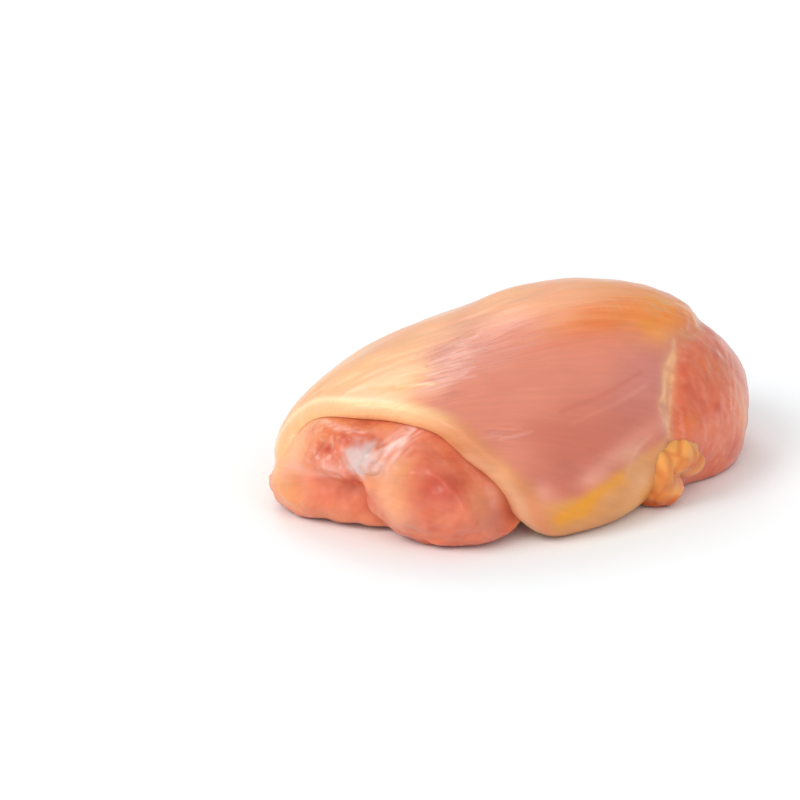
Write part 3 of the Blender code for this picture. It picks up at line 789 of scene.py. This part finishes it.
# Ramps of the cover's paint, each from where a tissue begins to where it is full, in mm
NEAR_SIDE_Y, NEAR_SIDE_Z, BEHIND_LIP_X = (4, -16), (25.5, 18.5), (-27, -15)
CROWN_Z, CROWN_STREAK_Z = (29.5, 33.0), (28, 32)
FRONT_RAMP, FRONT_PALE_RAMP, DASHES_Y = (-11, -29), (-6, -26), (8, 20)
SKIRT_X, SKIRT_Y = (11, 6), (-17, -23)
FAR_FOOT_Y, FAR_FOOT_Z = (16, 24), (12.0, 7.0)
FLANK_X, FLANK_Y, FLANK_TOP_Z, FLANK_FOOT_Z = (-4, 8), (12, 24), (27, 20), (8, 12)

# The upper edge of the fat skirt: its height, where in X it starts to rise, how steeply, and its softness
SKIRT_TOP, SKIRT_RISE_FROM, SKIRT_RISE, SKIRT_SOFT = 8.0, -12, 0.28, 1.2


def cover_tint(p):
    """The colour at each covered point: salmon, then each tissue and painted light and shade mixed in
    where they lie.
    """
    x, y, z = p[..., 0], p[..., 1], p[..., 2]
    cloud = waves(p, seed=21, length=9.0, way=FRONT_WAY, longer=2.2)
    fine = waves(p, seed=22, length=2.3, way=TOP_WAY, longer=7)
    patches = waves(p, seed=25, length=4.0, way=TOP_WAY, longer=1.8)
    near = smooth(*NEAR_SIDE_Y, y) * smooth(*NEAR_SIDE_Z, z + 1.0 * cloud) * smooth(*BEHIND_LIP_X, x)
    front = smooth(*FRONT_RAMP, x - 1.4 * y + 2.5 * cloud)
    dashes = smooth(0.2, 1.6, waves(p, seed=26, length=2.6, way=FRONT_WAY, longer=6))
    dashes = dashes * (0.35 - 0.25 * smooth(*DASHES_Y, y))
    patch = bell(p, *AMBER_PLACE)
    edge = SKIRT_TOP + SKIRT_RISE * np.maximum(x - SKIRT_RISE_FROM, 0) + 0.6 * cloud
    skirt = smooth(edge + SKIRT_SOFT, edge - SKIRT_SOFT, z) * smooth(*SKIRT_X, x) * smooth(*SKIRT_Y, y)
    gold = band(p, GOLD_STREAK, 1.5) + 0.6 * bell(p, *GOLD_FOOT)
    flank = smooth(*FLANK_Y, y) * smooth(*FLANK_TOP_Z, z + 1.5 * cloud)
    flank = flank * smooth(*FLANK_X, x + 2 * cloud) * smooth(*FLANK_FOOT_Z, z)
    pale_lines = 0.45 * sum(band(p, line, 0.45) for line in FAR_LINES) + 0.35 * stroked(p, FAR_STREAKS)
    layers = [
        (DEEP_SALMON, 0.8 * near),
        *spots(p, *NEAR_SPOTS),
        (PEACH, 0.85 * smooth(*CROWN_Z, z + 0.10 * y + 0.7 * cloud)),
        *spots(p, CROWN_FILM, cloud=smooth(-2.4, 0.2, fine)),
        (PEACH, 0.3 * smooth(0.4, 1.6, fine) * smooth(*CROWN_STREAK_Z, z)),
        (PEACH, 0.9 * front),
        (BUTTER, 0.9 * front * smooth(*FRONT_PALE_RAMP, x - 0.3 * y + 3 * cloud)),
        (CREAM, 0.8 * front * dashes),
        *spots(p, *CROWN_SPOTS),
        (AMBER, 1.3 * patch),
        (OCHRE, 0.5 * patch * smooth(0.2, 1.4, patches)),
        (ORANGE_FILM_AND_SHADE, 0.5 * patch * smooth(-0.4, -1.4, patches)),
        *spots(p, *PATCH_SPOTS),
        # whitish fascia with a painted sheen on it, behind the lip
        (PALE_PINK, 0.75 * band(p, SHEEN_LINE, 2.6)),
        # painted highlight: cream along the crests of the ridges behind the lip
        (CREAM, 0.8 * stroked(p, FRONT_HIGHLIT_RIDGES)),
        # painted highlight: pale glints along the crests of the wrinkles
        (PINK_TENDON_AND_GLINT, 0.5 * stroked(p, WRINKLES) + 0.3 * stroked(p, LOW_WRINKLES)),
        # painted shade: dark lines between the wrinkles, with no relief of their own
        (DEEP_SALMON, 0.6 * stroked(p, WRINKLE_SHADES)),
        (DEEP_SALMON, 0.55 * band(p, VEIN, 0.45)),
        (PALE_PINK, 0.22 * band(p, VEIN_CORD, 0.4)),
        (OCHRE, 0.92 * skirt),
        (PALE_PINK, 0.35 * band(p, MEMBRANE_EDGE, 1.8) + 0.3 * band(p, MEMBRANE_LINE, 0.5)),
        *spots(p, *MEMBRANE_SPOTS),
        (GOLD, 0.95 * gold * smooth(-2.6, 0.2, patches)),
        *spots(p, *SKIRT_SPOTS),
        (OCHRE, 0.75 * smooth(*FAR_FOOT_Z, z + 0.8 * cloud) * smooth(*FAR_FOOT_Y, y)),
        (DEEP_SALMON, 0.55 * flank),
        *spots(p, FAR_MAUVE),
        *spots(p, FAR_FILM, cloud=smooth(-1.6, 0.6, fine)),
        *spots(p, FAR_PALE, cloud=smooth(-1.0, 1.0, fine)),
        (GOLD, 0.65 * band(p, FAR_FAT, 2.0) * smooth(-1.4, 0.8, patches)),
        (DEEP_SALMON, 0.45 * sum(band(p, line, 0.5) for line in FAR_VEINS)),
        (PALE_PINK, pale_lines),
    ]
    return round_muscle(painted(p, SALMON, layers), p)


def round_muscle(tint, p):
    """Mixes the round muscle and its seam into the cover's tint: bare red meat, haze and pale lines."""
    clouds = 0.3 + 0.35 * waves(p, seed=23, length=5.5) + 0.15 * waves(p, seed=28, length=2.0)
    strands = sum(band(p, strand, 0.42) for strand in SEAM_STRANDS)
    muscle = [
        (REAR_RED, clouds),
        (HAZE, 0.22 * smooth(0.3, 1.6, waves(p, seed=24, length=1.7, way=(0, 0.1, 1), longer=3))),
        *spots(p, ROUND_BLOOD, cloud=smooth(0.4, 1.6, waves(p, seed=29, length=3.4))),
        *spots(p, *ROUND_SPOTS),
        (HAZE, 0.4 * sum(band(p, line, 0.4) for line in REAR_LINES)),
        *spots(p, *ROUND_EDGE_SPOTS),
        (HAZE, 0.2 * stroked(p, REAR_STREAKS)),
    ]
    layers = [
        (painted(p, REAR_PINK, muscle), round_share(p)),
        *spots(p, SEAM_FAT),
        (TAN, 0.35 * band(p, REAR_SEAM, 1.5)),
        *spots(p, SEAM_FILM),
        (PALE_TAN, 0.2 * sum(band(p, strand, 1.3) for strand in SEAM_STRANDS)),
        (LIP_PEACH, 0.7 * strands * smooth(-1.8, 0.8, waves(p, seed=27, length=2.2))),
    ]
    return painted(p, tint, layers)


# Ramps of the lip's paint: over its top in Y and Z, and in mm behind its edge. Low on the near side the
# lip is painted paler near its edge as painted light, and a little orange under the edge is painted shade.
# The crest and the slope of its roll come last, each as how far behind the edge its middle lies, and its
# width.
# The crest's cream is cream fat with a painted highlight along it.
LIP_TOP_Y, LIP_TOP_Z, LIP_LIGHT_BEHIND, LIP_LIGHT_Z = (-21, -9), (5, 12), (6.5, 2.0), (19, 15)
ROLL_Y, EDGE_PALE_BEHIND, EDGE_SHADE_BEHIND = (-15, -3), (1.8, 0.5), (0.7, 0.1)
ROLL_CREST, ROLL_SLOPE = (6.9, 1.3), (6.4, 2.6)


def lip_tint(p, behind, under):
    """The colour of the lip: a cream roll and a peach slope over the top, and tan down the near side."""
    y, z = p[..., 1], p[..., 2]
    crest, slope = (np.exp(-(((behind - far) / wide) ** 2)) for far, wide in (ROLL_CREST, ROLL_SLOPE))
    top = smooth(*LIP_TOP_Y, y) * smooth(*LIP_TOP_Z, z)
    pale = smooth(*LIP_LIGHT_BEHIND, behind) * smooth(*LIP_LIGHT_Z, z) * (1 - top)
    roll = smooth(*ROLL_Y, y) * crest
    layers = [
        # painted light: the lip low on the near side is paler near its edge
        (PALE_TAN, pale),
        (LIP_PEACH, top),
        *spots(p, LIP_LIGHT_PATCH),
        # the crest's cream: cream fat with a painted highlight along it
        (CREAM, top * (0.3 * slope + 0.75 * roll)),
        (BUTTER, 0.45 * smooth(*EDGE_PALE_BEHIND, behind)),
        # painted light: peach under the edge, where it is shaded
        (LIP_PEACH, 0.85 * smooth(0.2, 0.6, under)),
        # painted shade: a little orange under the edge
        (ORANGE_FILM_AND_SHADE, 0.1 * smooth(*EDGE_SHADE_BEHIND, behind) * smooth(0.0, 0.3, under)),
    ]
    return painted(p, TAN, layers)


# The knuckle's white gristle, and ramps of the cut face's paint: its foot, its painted shade at the table,
# and where haze gives way to fat
KNUCKLE_CENTRE, KNUCKLE_RADII = (-43.4, -6.6, 15.7), (3.2, 2.8, 2.9)
FOOT_Y, FOOT_Z, TABLE_SHADE_Z = (-14, -8), (6, 2), (1.3, 0.3)
HAZE_TOP_Z, FATTY_CRUMBS_Z = (19.2, 16.5), (16.5, 19.2)


def knuckle_share(p):
    """1 on the white gristle of the knuckle and 0 off it: an ellipsoid with an uneven, soft edge."""
    gaps = (p - np.array(KNUCKLE_CENTRE)) / KNUCKLE_RADII
    return smooth(1.5, 0.5, np.sqrt((gaps * gaps).sum(-1)) + 0.12 * waves(p, seed=33, length=2.0))


def face_tint(p):
    """The colour of the cut face: pink muscle, redder hearts, pale borders, haze, blood, yellow fat and
    painted light and shade.
    """
    cloud = waves(p, seed=31, length=5.0)
    grain = waves(p, seed=32, length=1.3, way=(0, -0.5, 1), longer=2.2)
    film = smooth(-1.0, 1.8, waves(p, seed=36, length=3.6, way=(0.2, -0.6, 0.8), longer=2.0))
    flecks = smooth(0.1, 1.2, waves(p, seed=37, length=1.3))
    specks = smooth(0.3, 1.4, waves(p, seed=39, length=1.2))
    fibres = 0.7 + 0.3 * waves(p, seed=38, length=1.2, way=TENDON_WAY, longer=5)
    torn = crumbly(p)
    layers = [
        (MUSCLE_RED, 0.24 + 0.16 * cloud + 0.09 * grain),
        *spots(p, LOBE_HEART),
        *spots(p, LOBE_BLOOD, cloud=1 + 0.4 * cloud),
        *spots(p, UNDER_ROLL_FILM),
        *spots(p, OVER_KNUCKLE, cloud=1 + 0.4 * grain),
        *spots(p, *UPPER_SPOTS),
        (PALE_TAN, 0.5 * band(p, LOBE_BORDER, 3.0)),
        *spots(p, *LOBE_RIM_SPOTS),
        (PEACH, 0.3 * smooth(*FOOT_Z, p[..., 2]) * smooth(*FOOT_Y, p[..., 1])),
        *spots(p, *LOWER_SPOTS),
        (HAZE, 0.08 * film),
        (MUSCLE_RED, 0.45 * torn * specks),
        (HAZE, 0.7 * torn * flecks * smooth(*HAZE_TOP_Z, p[..., 2])),
        (PEACH, 0.6 * torn * flecks * smooth(*FATTY_CRUMBS_Z, p[..., 2])),
        *spots(p, *HAZE_SPOTS),
        (HAZE, 0.45 * band(p, PALE_STREAK, 0.9)),
        (PINK_TENDON_AND_GLINT, 0.95 * band(p, TENDON, 2.0) * fibres),
        *spots(p, GAP_PATCH),
        (CARTILAGE, 0.95 * knuckle_share(p)),
        *spots(p, *BLOOD_SPOTS),
        (BLOOD_AND_SHADE_RED, 0.35 * band(p, RED_LINE, 0.6)),
        (BLOOD_AND_SHADE_RED, 0.25 * band(p, LOBE_GAP, 0.8)),
        # painted light: paler under the lip's near side, where the lip shades the face
        (PALE_PINK, 0.45 * band(p, UNDER_LIP_LIGHT, 1.2) * smooth(-1.0, 1.0, grain)),
        # painted shade: dark red where the cut face meets the table
        (BLOOD_AND_SHADE_RED, 0.55 * smooth(*TABLE_SHADE_Z, p[..., 2])),
    ]
    return painted(p, MUSCLE_PINK, layers)


def closed_piece(name, rings, poles, tint, grain, pleats):
    """A mesh from rings of points, closed by a fan of triangles at each pole.

    Each point keeps its tint, its place along and across the grain, and how finely pleated the tissue
    is there. The poles take their tint and grain from the first and the last ring.
    """
    count, around = rings.shape[:2]
    points = (np.concatenate((rings.reshape(-1, 3), poles)) - MIDDLE) * MM
    i, j = np.meshgrid(np.arange(count - 1), np.arange(around), indexing="ij")
    k = (j + 1) % around
    here, beyond = i * around, (i + 1) * around
    quads = np.stack((here + j, here + k, beyond + k, beyond + j), -1).reshape(-1, 4)
    j = np.arange(around)
    k = (j + 1) % around
    first = np.stack((np.full(around, count * around), k, j), -1)
    end = (count - 1) * around
    last = np.stack((np.full(around, count * around + 1), end + j, end + k), -1)
    mesh = bpy.data.meshes.new(name)
    mesh.from_pydata(points, [], quads.tolist() + first.tolist() + last.tolist())
    mesh.polygons.foreach_set("use_smooth", np.ones(len(mesh.polygons), bool))
    colours = np.ones((len(points), 4), np.float32)
    colours[:, :3] = np.concatenate((tint.reshape(-1, 3), tint[:1, 0], tint[-1:, 0]))
    mesh.attributes.new("tint", "FLOAT_COLOR", "POINT").data.foreach_set("color", colours.ravel())
    runs = np.concatenate((grain.reshape(-1, 3), grain[:1, 0], grain[-1:, 0])).astype(np.float32)
    mesh.attributes.new("grain", "FLOAT_VECTOR", "POINT").data.foreach_set("vector", runs.ravel())
    share = np.concatenate((pleats.ravel(), (0, 0))).astype(np.float32)
    mesh.attributes.new("pleats", "FLOAT", "POINT").data.foreach_set("value", share)
    mesh.update()
    piece = bpy.data.objects.new(name, mesh)
    bpy.context.scene.collection.objects.link(piece)
    faces_out(piece)
    return piece


def faces_out(piece):
    """Turns a closed mesh whose signed volume is below zero the right way round."""
    mesh = piece.data
    mesh.calc_loop_triangles()
    corners = np.empty(len(mesh.loop_triangles) * 3, np.int32)
    mesh.loop_triangles.foreach_get("vertices", corners)
    places = np.empty(len(mesh.vertices) * 3, np.float32)
    mesh.vertices.foreach_get("co", places)
    a, b, c = np.moveaxis(places.reshape(-1, 3)[corners.reshape(-1, 3)], 1, 0)
    if np.einsum("ij,ij->i", a, np.cross(b, c)).sum() < 0:
        mesh.flip_normals()


# The clefts between the lobules: the seed of the draw, the spacing, and half the span that they fill. Then
# their depth and width, how uneven the fat is, and the heights over which its foot turns to painted orange
# shade.
CLEFTS = (42, 4.6, (11.0, 7.0, 7.5))
CLEFT_DEPTH, CLEFT_WIDTH, FAT_UNEVEN = 0.3, 1.0, 0.16
FAT_FOOT_SHADE_Z = (3.6, 0.8)


def lobules(points, seed, spacing, span):
    """1 in the clefts between small round lobules and 0 on them.

    Seed points are strewn in a box of the given span about the fat's heart. A cleft lies where the two
    nearest seeds are equally far off, and fades with the difference of the two distances.
    """
    draw = np.random.default_rng(seed)
    count = int(np.prod(np.array(span) * 2 / spacing))
    seeds = FAT_HEART + draw.uniform(-1, 1, (count, 3)) * span
    first = np.full(points.shape[:-1], np.inf)
    second = first.copy()
    for place in seeds:
        gap = np.sqrt(((points - place) ** 2).sum(-1))
        second = np.minimum(second, np.maximum(first, gap))
        first = np.minimum(first, gap)
    return np.exp(-(((second - first) / CLEFT_WIDTH) ** 2))


def fat_grid():
    """The knob of fat as rings from the near side inward: the lumps' soft maximum, less the clefts."""
    def reach(rays):
        bare = soft_max(LUMP_SHARPNESS, *[crossing(rays, lump, FAT_HEART) for lump in FAT_LUMPS])
        points = FAT_HEART + rays * bare[..., None]
        uneven = FAT_UNEVEN * waves(points, seed=41, length=3.4)
        return bare + uneven - CLEFT_DEPTH * lobules(points, *CLEFTS)

    polar = np.linspace(0, math.pi, FAT_RINGS + 2)[1:-1, None]
    turn = np.linspace(0, 2 * math.pi, FAT_TURNS, endpoint=False)
    spread = np.sin(polar)
    rays = np.stack((spread * np.cos(turn), -np.cos(polar) + 0 * turn, spread * np.sin(turn)), -1)
    ends = np.array(((0.0, -1.0, 0.0), (0.0, 1.0, 0.0)))
    rings = FAT_HEART + rays * reach(rays)[..., None]
    rings[..., 2] = np.maximum(rings[..., 2], 0)
    return rings, FAT_HEART + ends * reach(ends)[:, None]


def fat_tint(p):
    """The colour of the knob: yellow fat, golden in clouds, with painted orange shade in the clefts and
    underneath.
    """
    layers = [
        (OCHRE, 0.12 + 0.25 * waves(p, seed=43, length=4.0)),
        # painted shade in the clefts
        (FAT_FOLD_SHADE, 0.45 * lobules(p, *CLEFTS)),
        *spots(p, *FAT_SPOTS),
        # painted shade underneath
        (FAT_FOLD_SHADE, 0.85 * smooth(*FAT_FOOT_SHADE_Z, p[..., 2])),
    ]
    return painted(p, FAT_YELLOW, layers)


def bone_grid():
    """The bone as rings round a straight line: a smooth curve of radii, wider at the knuckle."""
    axis = BONE_END - BONE_START
    length = np.linalg.norm(axis)
    axis = axis / length
    side = np.cross((0.0, 0.0, 1.0), axis)
    side = side / np.linalg.norm(side)
    up = np.cross(axis, side)
    profile = along(np.stack((np.array(BONE_ALONG) * length, BONE_RADIUS), -1), BONE_STEPS)
    steps = (1 - np.cos(np.linspace(0, math.pi, BONE_RINGS + 2)[1:-1])) / 2 * length
    radius = np.interp(steps, profile[:, 0], profile[:, 1])[:, None]
    turn = np.linspace(0, 2 * math.pi, BONE_TURNS, endpoint=False)
    fade = smooth(KNUCKLE_TO, KNUCKLE_FROM, steps[:, None] / length)
    wider = 1 + KNUCKLE_WIDER * np.cos(turn) ** 2 * fade
    spokes = np.cos(turn)[:, None] * side + np.sin(turn)[:, None] * up
    rings = BONE_START + steps[:, None, None] * axis + (radius * wider)[..., None] * spokes
    rings = rings + BONE_UNEVEN * waves(rings, seed=51, length=4.0)[..., None] * spokes
    return rings, np.array((BONE_START, BONE_END))


def bone_tint(p):
    """The colour of the bone: the cut face's paint, which is white on the knuckle, with more haze."""
    return mixed(face_tint(p), HAZE, 0.3 * smooth(0.0, 1.0, waves(p, seed=52, length=3.0)))


class Nodes:
    """Short hand for the nodes of one material: each call adds a node and links what it is given."""

    def __init__(self, name):
        self.material = bpy.data.materials.new(name)
        self.material.use_nodes = True
        self.tree = self.material.node_tree
        self.shader = self.tree.nodes["Principled BSDF"]

    def add(self, kind, inputs=(), **settings):
        """A new node with its settings made and its inputs set or linked."""
        node = self.tree.nodes.new(kind)
        for key, value in settings.items():
            setattr(node, key, value)
        for key, value in dict(inputs).items():
            self.put(node.inputs[key], value)
        return node

    def put(self, socket, value):
        """Links a socket to another one, or sets it to a plain value."""
        if isinstance(value, bpy.types.NodeSocket):
            self.tree.links.new(value, socket)
        else:
            socket.default_value = value

    def look(self, inputs):
        """Sets or links inputs of the material's own shader."""
        for key, value in inputs.items():
            self.put(self.shader.inputs[key], value)

    def attribute(self, name, output):
        return self.add("ShaderNodeAttribute", attribute_name=name).outputs[output]

    def noise(self, vector, scale, stretch=(1, 1, 1), detail=0.0, rough=0.5):
        """A cloudy value about 0.5 over a vector that is scaled first."""
        moved = self.add("ShaderNodeMapping", {"Vector": vector, "Scale": stretch}).outputs[0]
        inputs = {"Vector": moved, "Scale": scale, "Detail": detail, "Roughness": rough}
        return self.add("ShaderNodeTexNoise", inputs).outputs["Fac"]

    def between(self, value, low, high, out_low, out_high):
        """A value mapped from one range to another, level past the ends."""
        inputs = {"Value": value, "From Min": low, "From Max": high, "To Min": out_low, "To Max": out_high}
        return self.add("ShaderNodeMapRange", inputs).outputs[0]

    def times(self, a, b):
        return self.add("ShaderNodeMath", {0: a, 1: b}, operation="MULTIPLY").outputs[0]

    def plus(self, a, b):
        return self.add("ShaderNodeMath", {0: a, 1: b}, operation="ADD").outputs[0]

    def lit(self, colour, grey):
        """A colour times a grey that is about 1."""
        inputs = {0: 1.0, 6: colour, 7: grey}
        return self.add("ShaderNodeMix", inputs, data_type="RGBA", blend_type="MULTIPLY").outputs[2]


# The wet tissues' noises: how each is stretched along the grain, the part of its range that counts, how
# strong the fibres are beside the streaks, and the scales of the mottles and the pores
STREAK_STRETCH, FIBRE_STRETCH, PLEAT_STRETCH = (0.10, 0.95, 1.0), (0.16, 1.8, 1.0), (0.14, 1.5, 1.0)
CLOUD_SPAN, PLEAT_SPAN, LIFT_SPAN, FIBRE_SHARE = (0.2, 0.8), (0.35, 0.65), (0.3, 0.7), 0.3
MOTTLE_SCALE, PORE_SCALE = 150.0, 900.0

# How tissue and water bend light, how much of a film of water there is and how rough, and how far light of
# each colour goes in the tissue, in metres
TISSUE_IOR, FILM_IOR, FILM_WEIGHT, FILM_ROUGHNESS = 1.38, 1.33, 0.35, 0.22
GLOW_COLOURS, GLOW_DEPTH = (1.0, 0.36, 0.22), 0.0022

# How dark and light the pleats are, painted shade in their troughs and painted highlight on their crests,
# how high they are, how high the fibres and the pores are beside them, and how much smoother and rougher
# the mottles make a tissue
PLEAT_SHADE, PLEAT_HIGHLIGHT, PLEAT_LIFT = -0.13, 0.10, 0.8
FIBRE_LIFT, PORE_LIFT, BUMP_STRENGTH = 0.25, 0.12, 0.5
SMOOTHER_BY, ROUGHER_BY = -0.06, 0.10

# A tissue's own finish: how strong its streaks and mottles are, how rough and how translucent it is, and
# how high its relief is in metres
Finish = namedtuple("Finish", "streaks mottles roughness glow relief")
MEAT_FINISH = Finish(streaks=0.05, mottles=0.04, roughness=0.34, glow=0.45, relief=0.0003)
FAT_FINISH = Finish(streaks=0.04, mottles=0.07, roughness=0.38, glow=0.5, relief=0.0003)
BONE_FINISH = Finish(streaks=0.03, mottles=0.05, roughness=0.30, glow=0.5, relief=0.0002)


def wet_tissue(name, finish):
    """A wet, translucent tissue.

    Its painted tint is made lighter and darker by streaks and finer fibres along the grain, by mottles,
    and by pleats where the piece has them, whose lighter crests and darker troughs are painted highlight
    and shade. Fibres, pores and pleats lift the surface a little, and the mottles make it smoother and
    rougher.
    A thin film of water lies over it.
    """
    n = Nodes(name)
    tint = n.attribute("tint", "Color")
    grain = n.attribute("grain", "Vector")
    place = n.add("ShaderNodeTexCoord").outputs["Object"]
    streak = n.noise(grain, 1.0, STREAK_STRETCH, detail=2.0)
    fibre = n.noise(grain, 1.0, FIBRE_STRETCH, detail=1.0)
    mottle = n.noise(place, MOTTLE_SCALE, detail=1.0, rough=0.4)
    pores = n.noise(place, PORE_SCALE)
    streaks, fibres, mottles = finish.streaks, FIBRE_SHARE * finish.streaks, finish.mottles
    light = n.between(streak, *CLOUD_SPAN, -streaks, streaks)
    light = n.plus(light, n.between(mottle, *CLOUD_SPAN, -mottles, mottles))
    light = n.plus(light, n.between(fibre, *CLOUD_SPAN, -fibres, fibres))
    pleats = n.attribute("pleats", "Fac")
    pleat = n.noise(grain, 1.0, PLEAT_STRETCH, detail=2.0)
    # painted highlight and shade on the pleats' crests and troughs
    light = n.plus(light, n.times(pleats, n.between(pleat, *PLEAT_SPAN, PLEAT_SHADE, PLEAT_HIGHLIGHT)))
    light = n.plus(light, 1.0)
    grey = n.add("ShaderNodeCombineColor", {0: light, 1: light, 2: light}).outputs[0]
    height = n.plus(n.times(fibre, FIBRE_LIFT), n.times(pores, PORE_LIFT))
    height = n.plus(height, n.times(pleats, n.between(pleat, *LIFT_SPAN, 0.0, PLEAT_LIFT)))
    lift = {"Height": height, "Strength": BUMP_STRENGTH, "Distance": finish.relief}
    bump = n.add("ShaderNodeBump", lift)
    smoother, rougher = finish.roughness + SMOOTHER_BY, finish.roughness + ROUGHER_BY
    n.look({
        "Base Color": n.lit(tint, grey),
        "Normal": bump.outputs[0],
        "Roughness": n.between(mottle, *CLOUD_SPAN, smoother, rougher),
        "IOR": TISSUE_IOR,
        "Subsurface Weight": finish.glow,
        "Subsurface Radius": GLOW_COLOURS,
        "Subsurface Scale": GLOW_DEPTH,
        "Coat Weight": FILM_WEIGHT,
        "Coat Roughness": FILM_ROUGHNESS,
        "Coat IOR": FILM_IOR,
    })
    return n.material


def dress(piece, material, slot, *replaced):
    """Gives a finished piece its material and its place in the frame."""
    piece.data.materials.append(material)
    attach(piece, "root")
    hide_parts(*replaced)


# How far behind the lip's edge its own colours end, the pale edge of the face before it on the far side, a
# peach edge just before it that is painted light where the lip shades the face, and where the pleats begin
LIP_TINT_FROM, LIP_TINT_TO = 10.0, 6.5
BORDER_FROM, BORDER_NEAR, BORDER_FAR = -4.5, 1, 9
EDGE_LIGHT_FROM, EDGE_LIGHT_TO = -1.0, -0.1
PLEATS_FROM, PLEATS_TO = 5, 12

# The grain's run round the thigh, in mm to a radian, and how much it slants as it goes back
GRAIN_ROUND, GRAIN_SLANT = 25, 0.35


def make_meat():
    """The meat, with the cover's and the lip's paint behind the edge, and the cut face's before it."""
    rings, poles, behind, cut, under, lip = meat_grid()
    lip_share = smooth(LIP_TINT_FROM, LIP_TINT_TO, behind) * lip
    cover = mixed(cover_tint(rings), lip_tint(rings, behind, under), lip_share)
    border = smooth(BORDER_FROM, 0.0, behind) * smooth(BORDER_NEAR, BORDER_FAR, rings[..., 1]) * lip
    face = mixed(face_tint(rings), LIP_PEACH, 0.7 * border)
    # painted light: peach on the face just before the lip's edge, where the lip shades it
    face_edge_light = smooth(EDGE_LIGHT_FROM, EDGE_LIGHT_TO, behind) * (1 - border) * lip
    tint = mixed(cover, mixed(face, PEACH, 0.75 * face_edge_light), cut)
    back = rings[..., 0]
    across = np.arctan2(rings[..., 1] - HEART[1], rings[..., 2] - HEART[2]) * GRAIN_ROUND
    grain = np.stack((back, across + GRAIN_SLANT * back, 0 * across), -1)
    pleats = pleated(rings) * smooth(PLEATS_FROM, PLEATS_TO, behind)
    skin = wet_tissue("wet meat under fascia", MEAT_FINISH)
    meat = closed_piece("meat_and_fascia", rings, poles, tint, grain, pleats)
    dress(meat, skin, "meat", "thigh_meat")


def make_fat():
    """The knob of fat, whose streaks run along X."""
    rings, poles = fat_grid()
    skin = wet_tissue("wet yellow fat", FAT_FINISH)
    fat = closed_piece("fat_knob", rings, poles, fat_tint(rings), rings, 0 * rings[..., 0])
    dress(fat, skin, "meat", "thigh_meat")


def make_bone():
    """The bone, of which only the knuckle shows at the cut end."""
    rings, poles = bone_grid()
    skin = wet_tissue("wet cartilage", BONE_FINISH)
    bone = closed_piece("thigh_bone_knuckle", rings, poles, bone_tint(rings), rings, 0 * rings[..., 0])
    dress(bone, skin, "cartilage", "thigh_bone")


# The camera as it stood for the photograph: its place, its bearing round the thigh, and its lens
CAMERA_PLACE = (-0.41496, -0.41088, 0.21500)
CAMERA_AZIMUTH, CAMERA_ELEVATION = -43.0, 19.0
CAMERA_LENS, SENSOR_WIDTH = 148.4, 36
CLIP_START, CLIP_END = 0.01, 20

# The soft lights: name, bearing and height in degrees, strength, and width in degrees
LIGHTS = (
    ("box above", 156, 42, 0.50, 26),
    ("box at the left", -100, 40, 1.05, 30),
    ("box at the front", -35, 34, 0.80, 60),
)
SKY_COLOUR, SKY_STRENGTH = (1, 1, 1, 1), 0.62

# The white floor: half its side and its level in metres, just clear of the thigh
FLOOR_HALF, FLOOR_LEVEL = 4.0, -0.0001
FLOOR_COLOUR, FLOOR_ROUGHNESS = (0.945, 0.98, 0.99, 1), 0.9


def direction(azimuth, elevation):
    """The way from the thigh toward that bearing: azimuth 0 is the near side, 90 the hip end."""
    a, e = math.radians(azimuth), math.radians(elevation)
    return Vector((math.sin(a) * math.cos(e), -math.cos(a) * math.cos(e), math.sin(e)))


def soft_sun(name, azimuth, elevation, strength, angle):
    """An even light from far off, as wide as a large soft box is from close by."""
    lamp = bpy.data.lights.new(name, "SUN")
    lamp.energy = strength
    lamp.angle = math.radians(angle)
    sun = bpy.data.objects.new(name, lamp)
    sun.rotation_mode = "QUATERNION"
    sun.rotation_quaternion = direction(azimuth, elevation).to_track_quat("Z", "Y")
    bpy.context.scene.collection.objects.link(sun)


def studio():
    """A plain white floor, an even white sky, soft lights from above, left and front, and the camera."""
    mesh = bpy.data.meshes.new("floor")
    half, level = FLOOR_HALF, FLOOR_LEVEL
    corners = ((-half, -half, level), (half, -half, level), (half, half, level), (-half, half, level))
    mesh.from_pydata(corners, [], [(0, 1, 2, 3)])
    floor = bpy.data.objects.new("floor", mesh)
    bpy.context.scene.collection.objects.link(floor)
    white = Nodes("white table")
    white.look({"Base Color": FLOOR_COLOUR, "Roughness": FLOOR_ROUGHNESS, "Specular IOR Level": 0.0})
    mesh.materials.append(white.material)

    world = bpy.data.worlds.new("even sky")
    world.use_nodes = True
    sky = world.node_tree.nodes["Background"].inputs
    sky["Color"].default_value = SKY_COLOUR
    sky["Strength"].default_value = SKY_STRENGTH
    bpy.context.scene.world = world
    for light in LIGHTS:
        soft_sun(*light)
    bpy.context.scene.view_settings.view_transform = "Standard"

    lens = bpy.data.cameras.new("camera")
    lens.lens = CAMERA_LENS
    lens.sensor_width = SENSOR_WIDTH
    lens.clip_start, lens.clip_end = CLIP_START, CLIP_END
    camera = bpy.data.objects.new("camera", lens)
    camera.location = CAMERA_PLACE
    camera.rotation_mode = "QUATERNION"
    camera.rotation_quaternion = (-direction(CAMERA_AZIMUTH, CAMERA_ELEVATION)).to_track_quat("-Z", "Y")
    bpy.context.scene.collection.objects.link(camera)
    bpy.context.scene.camera = camera


studio()
make_meat()
make_fat()
make_bone()
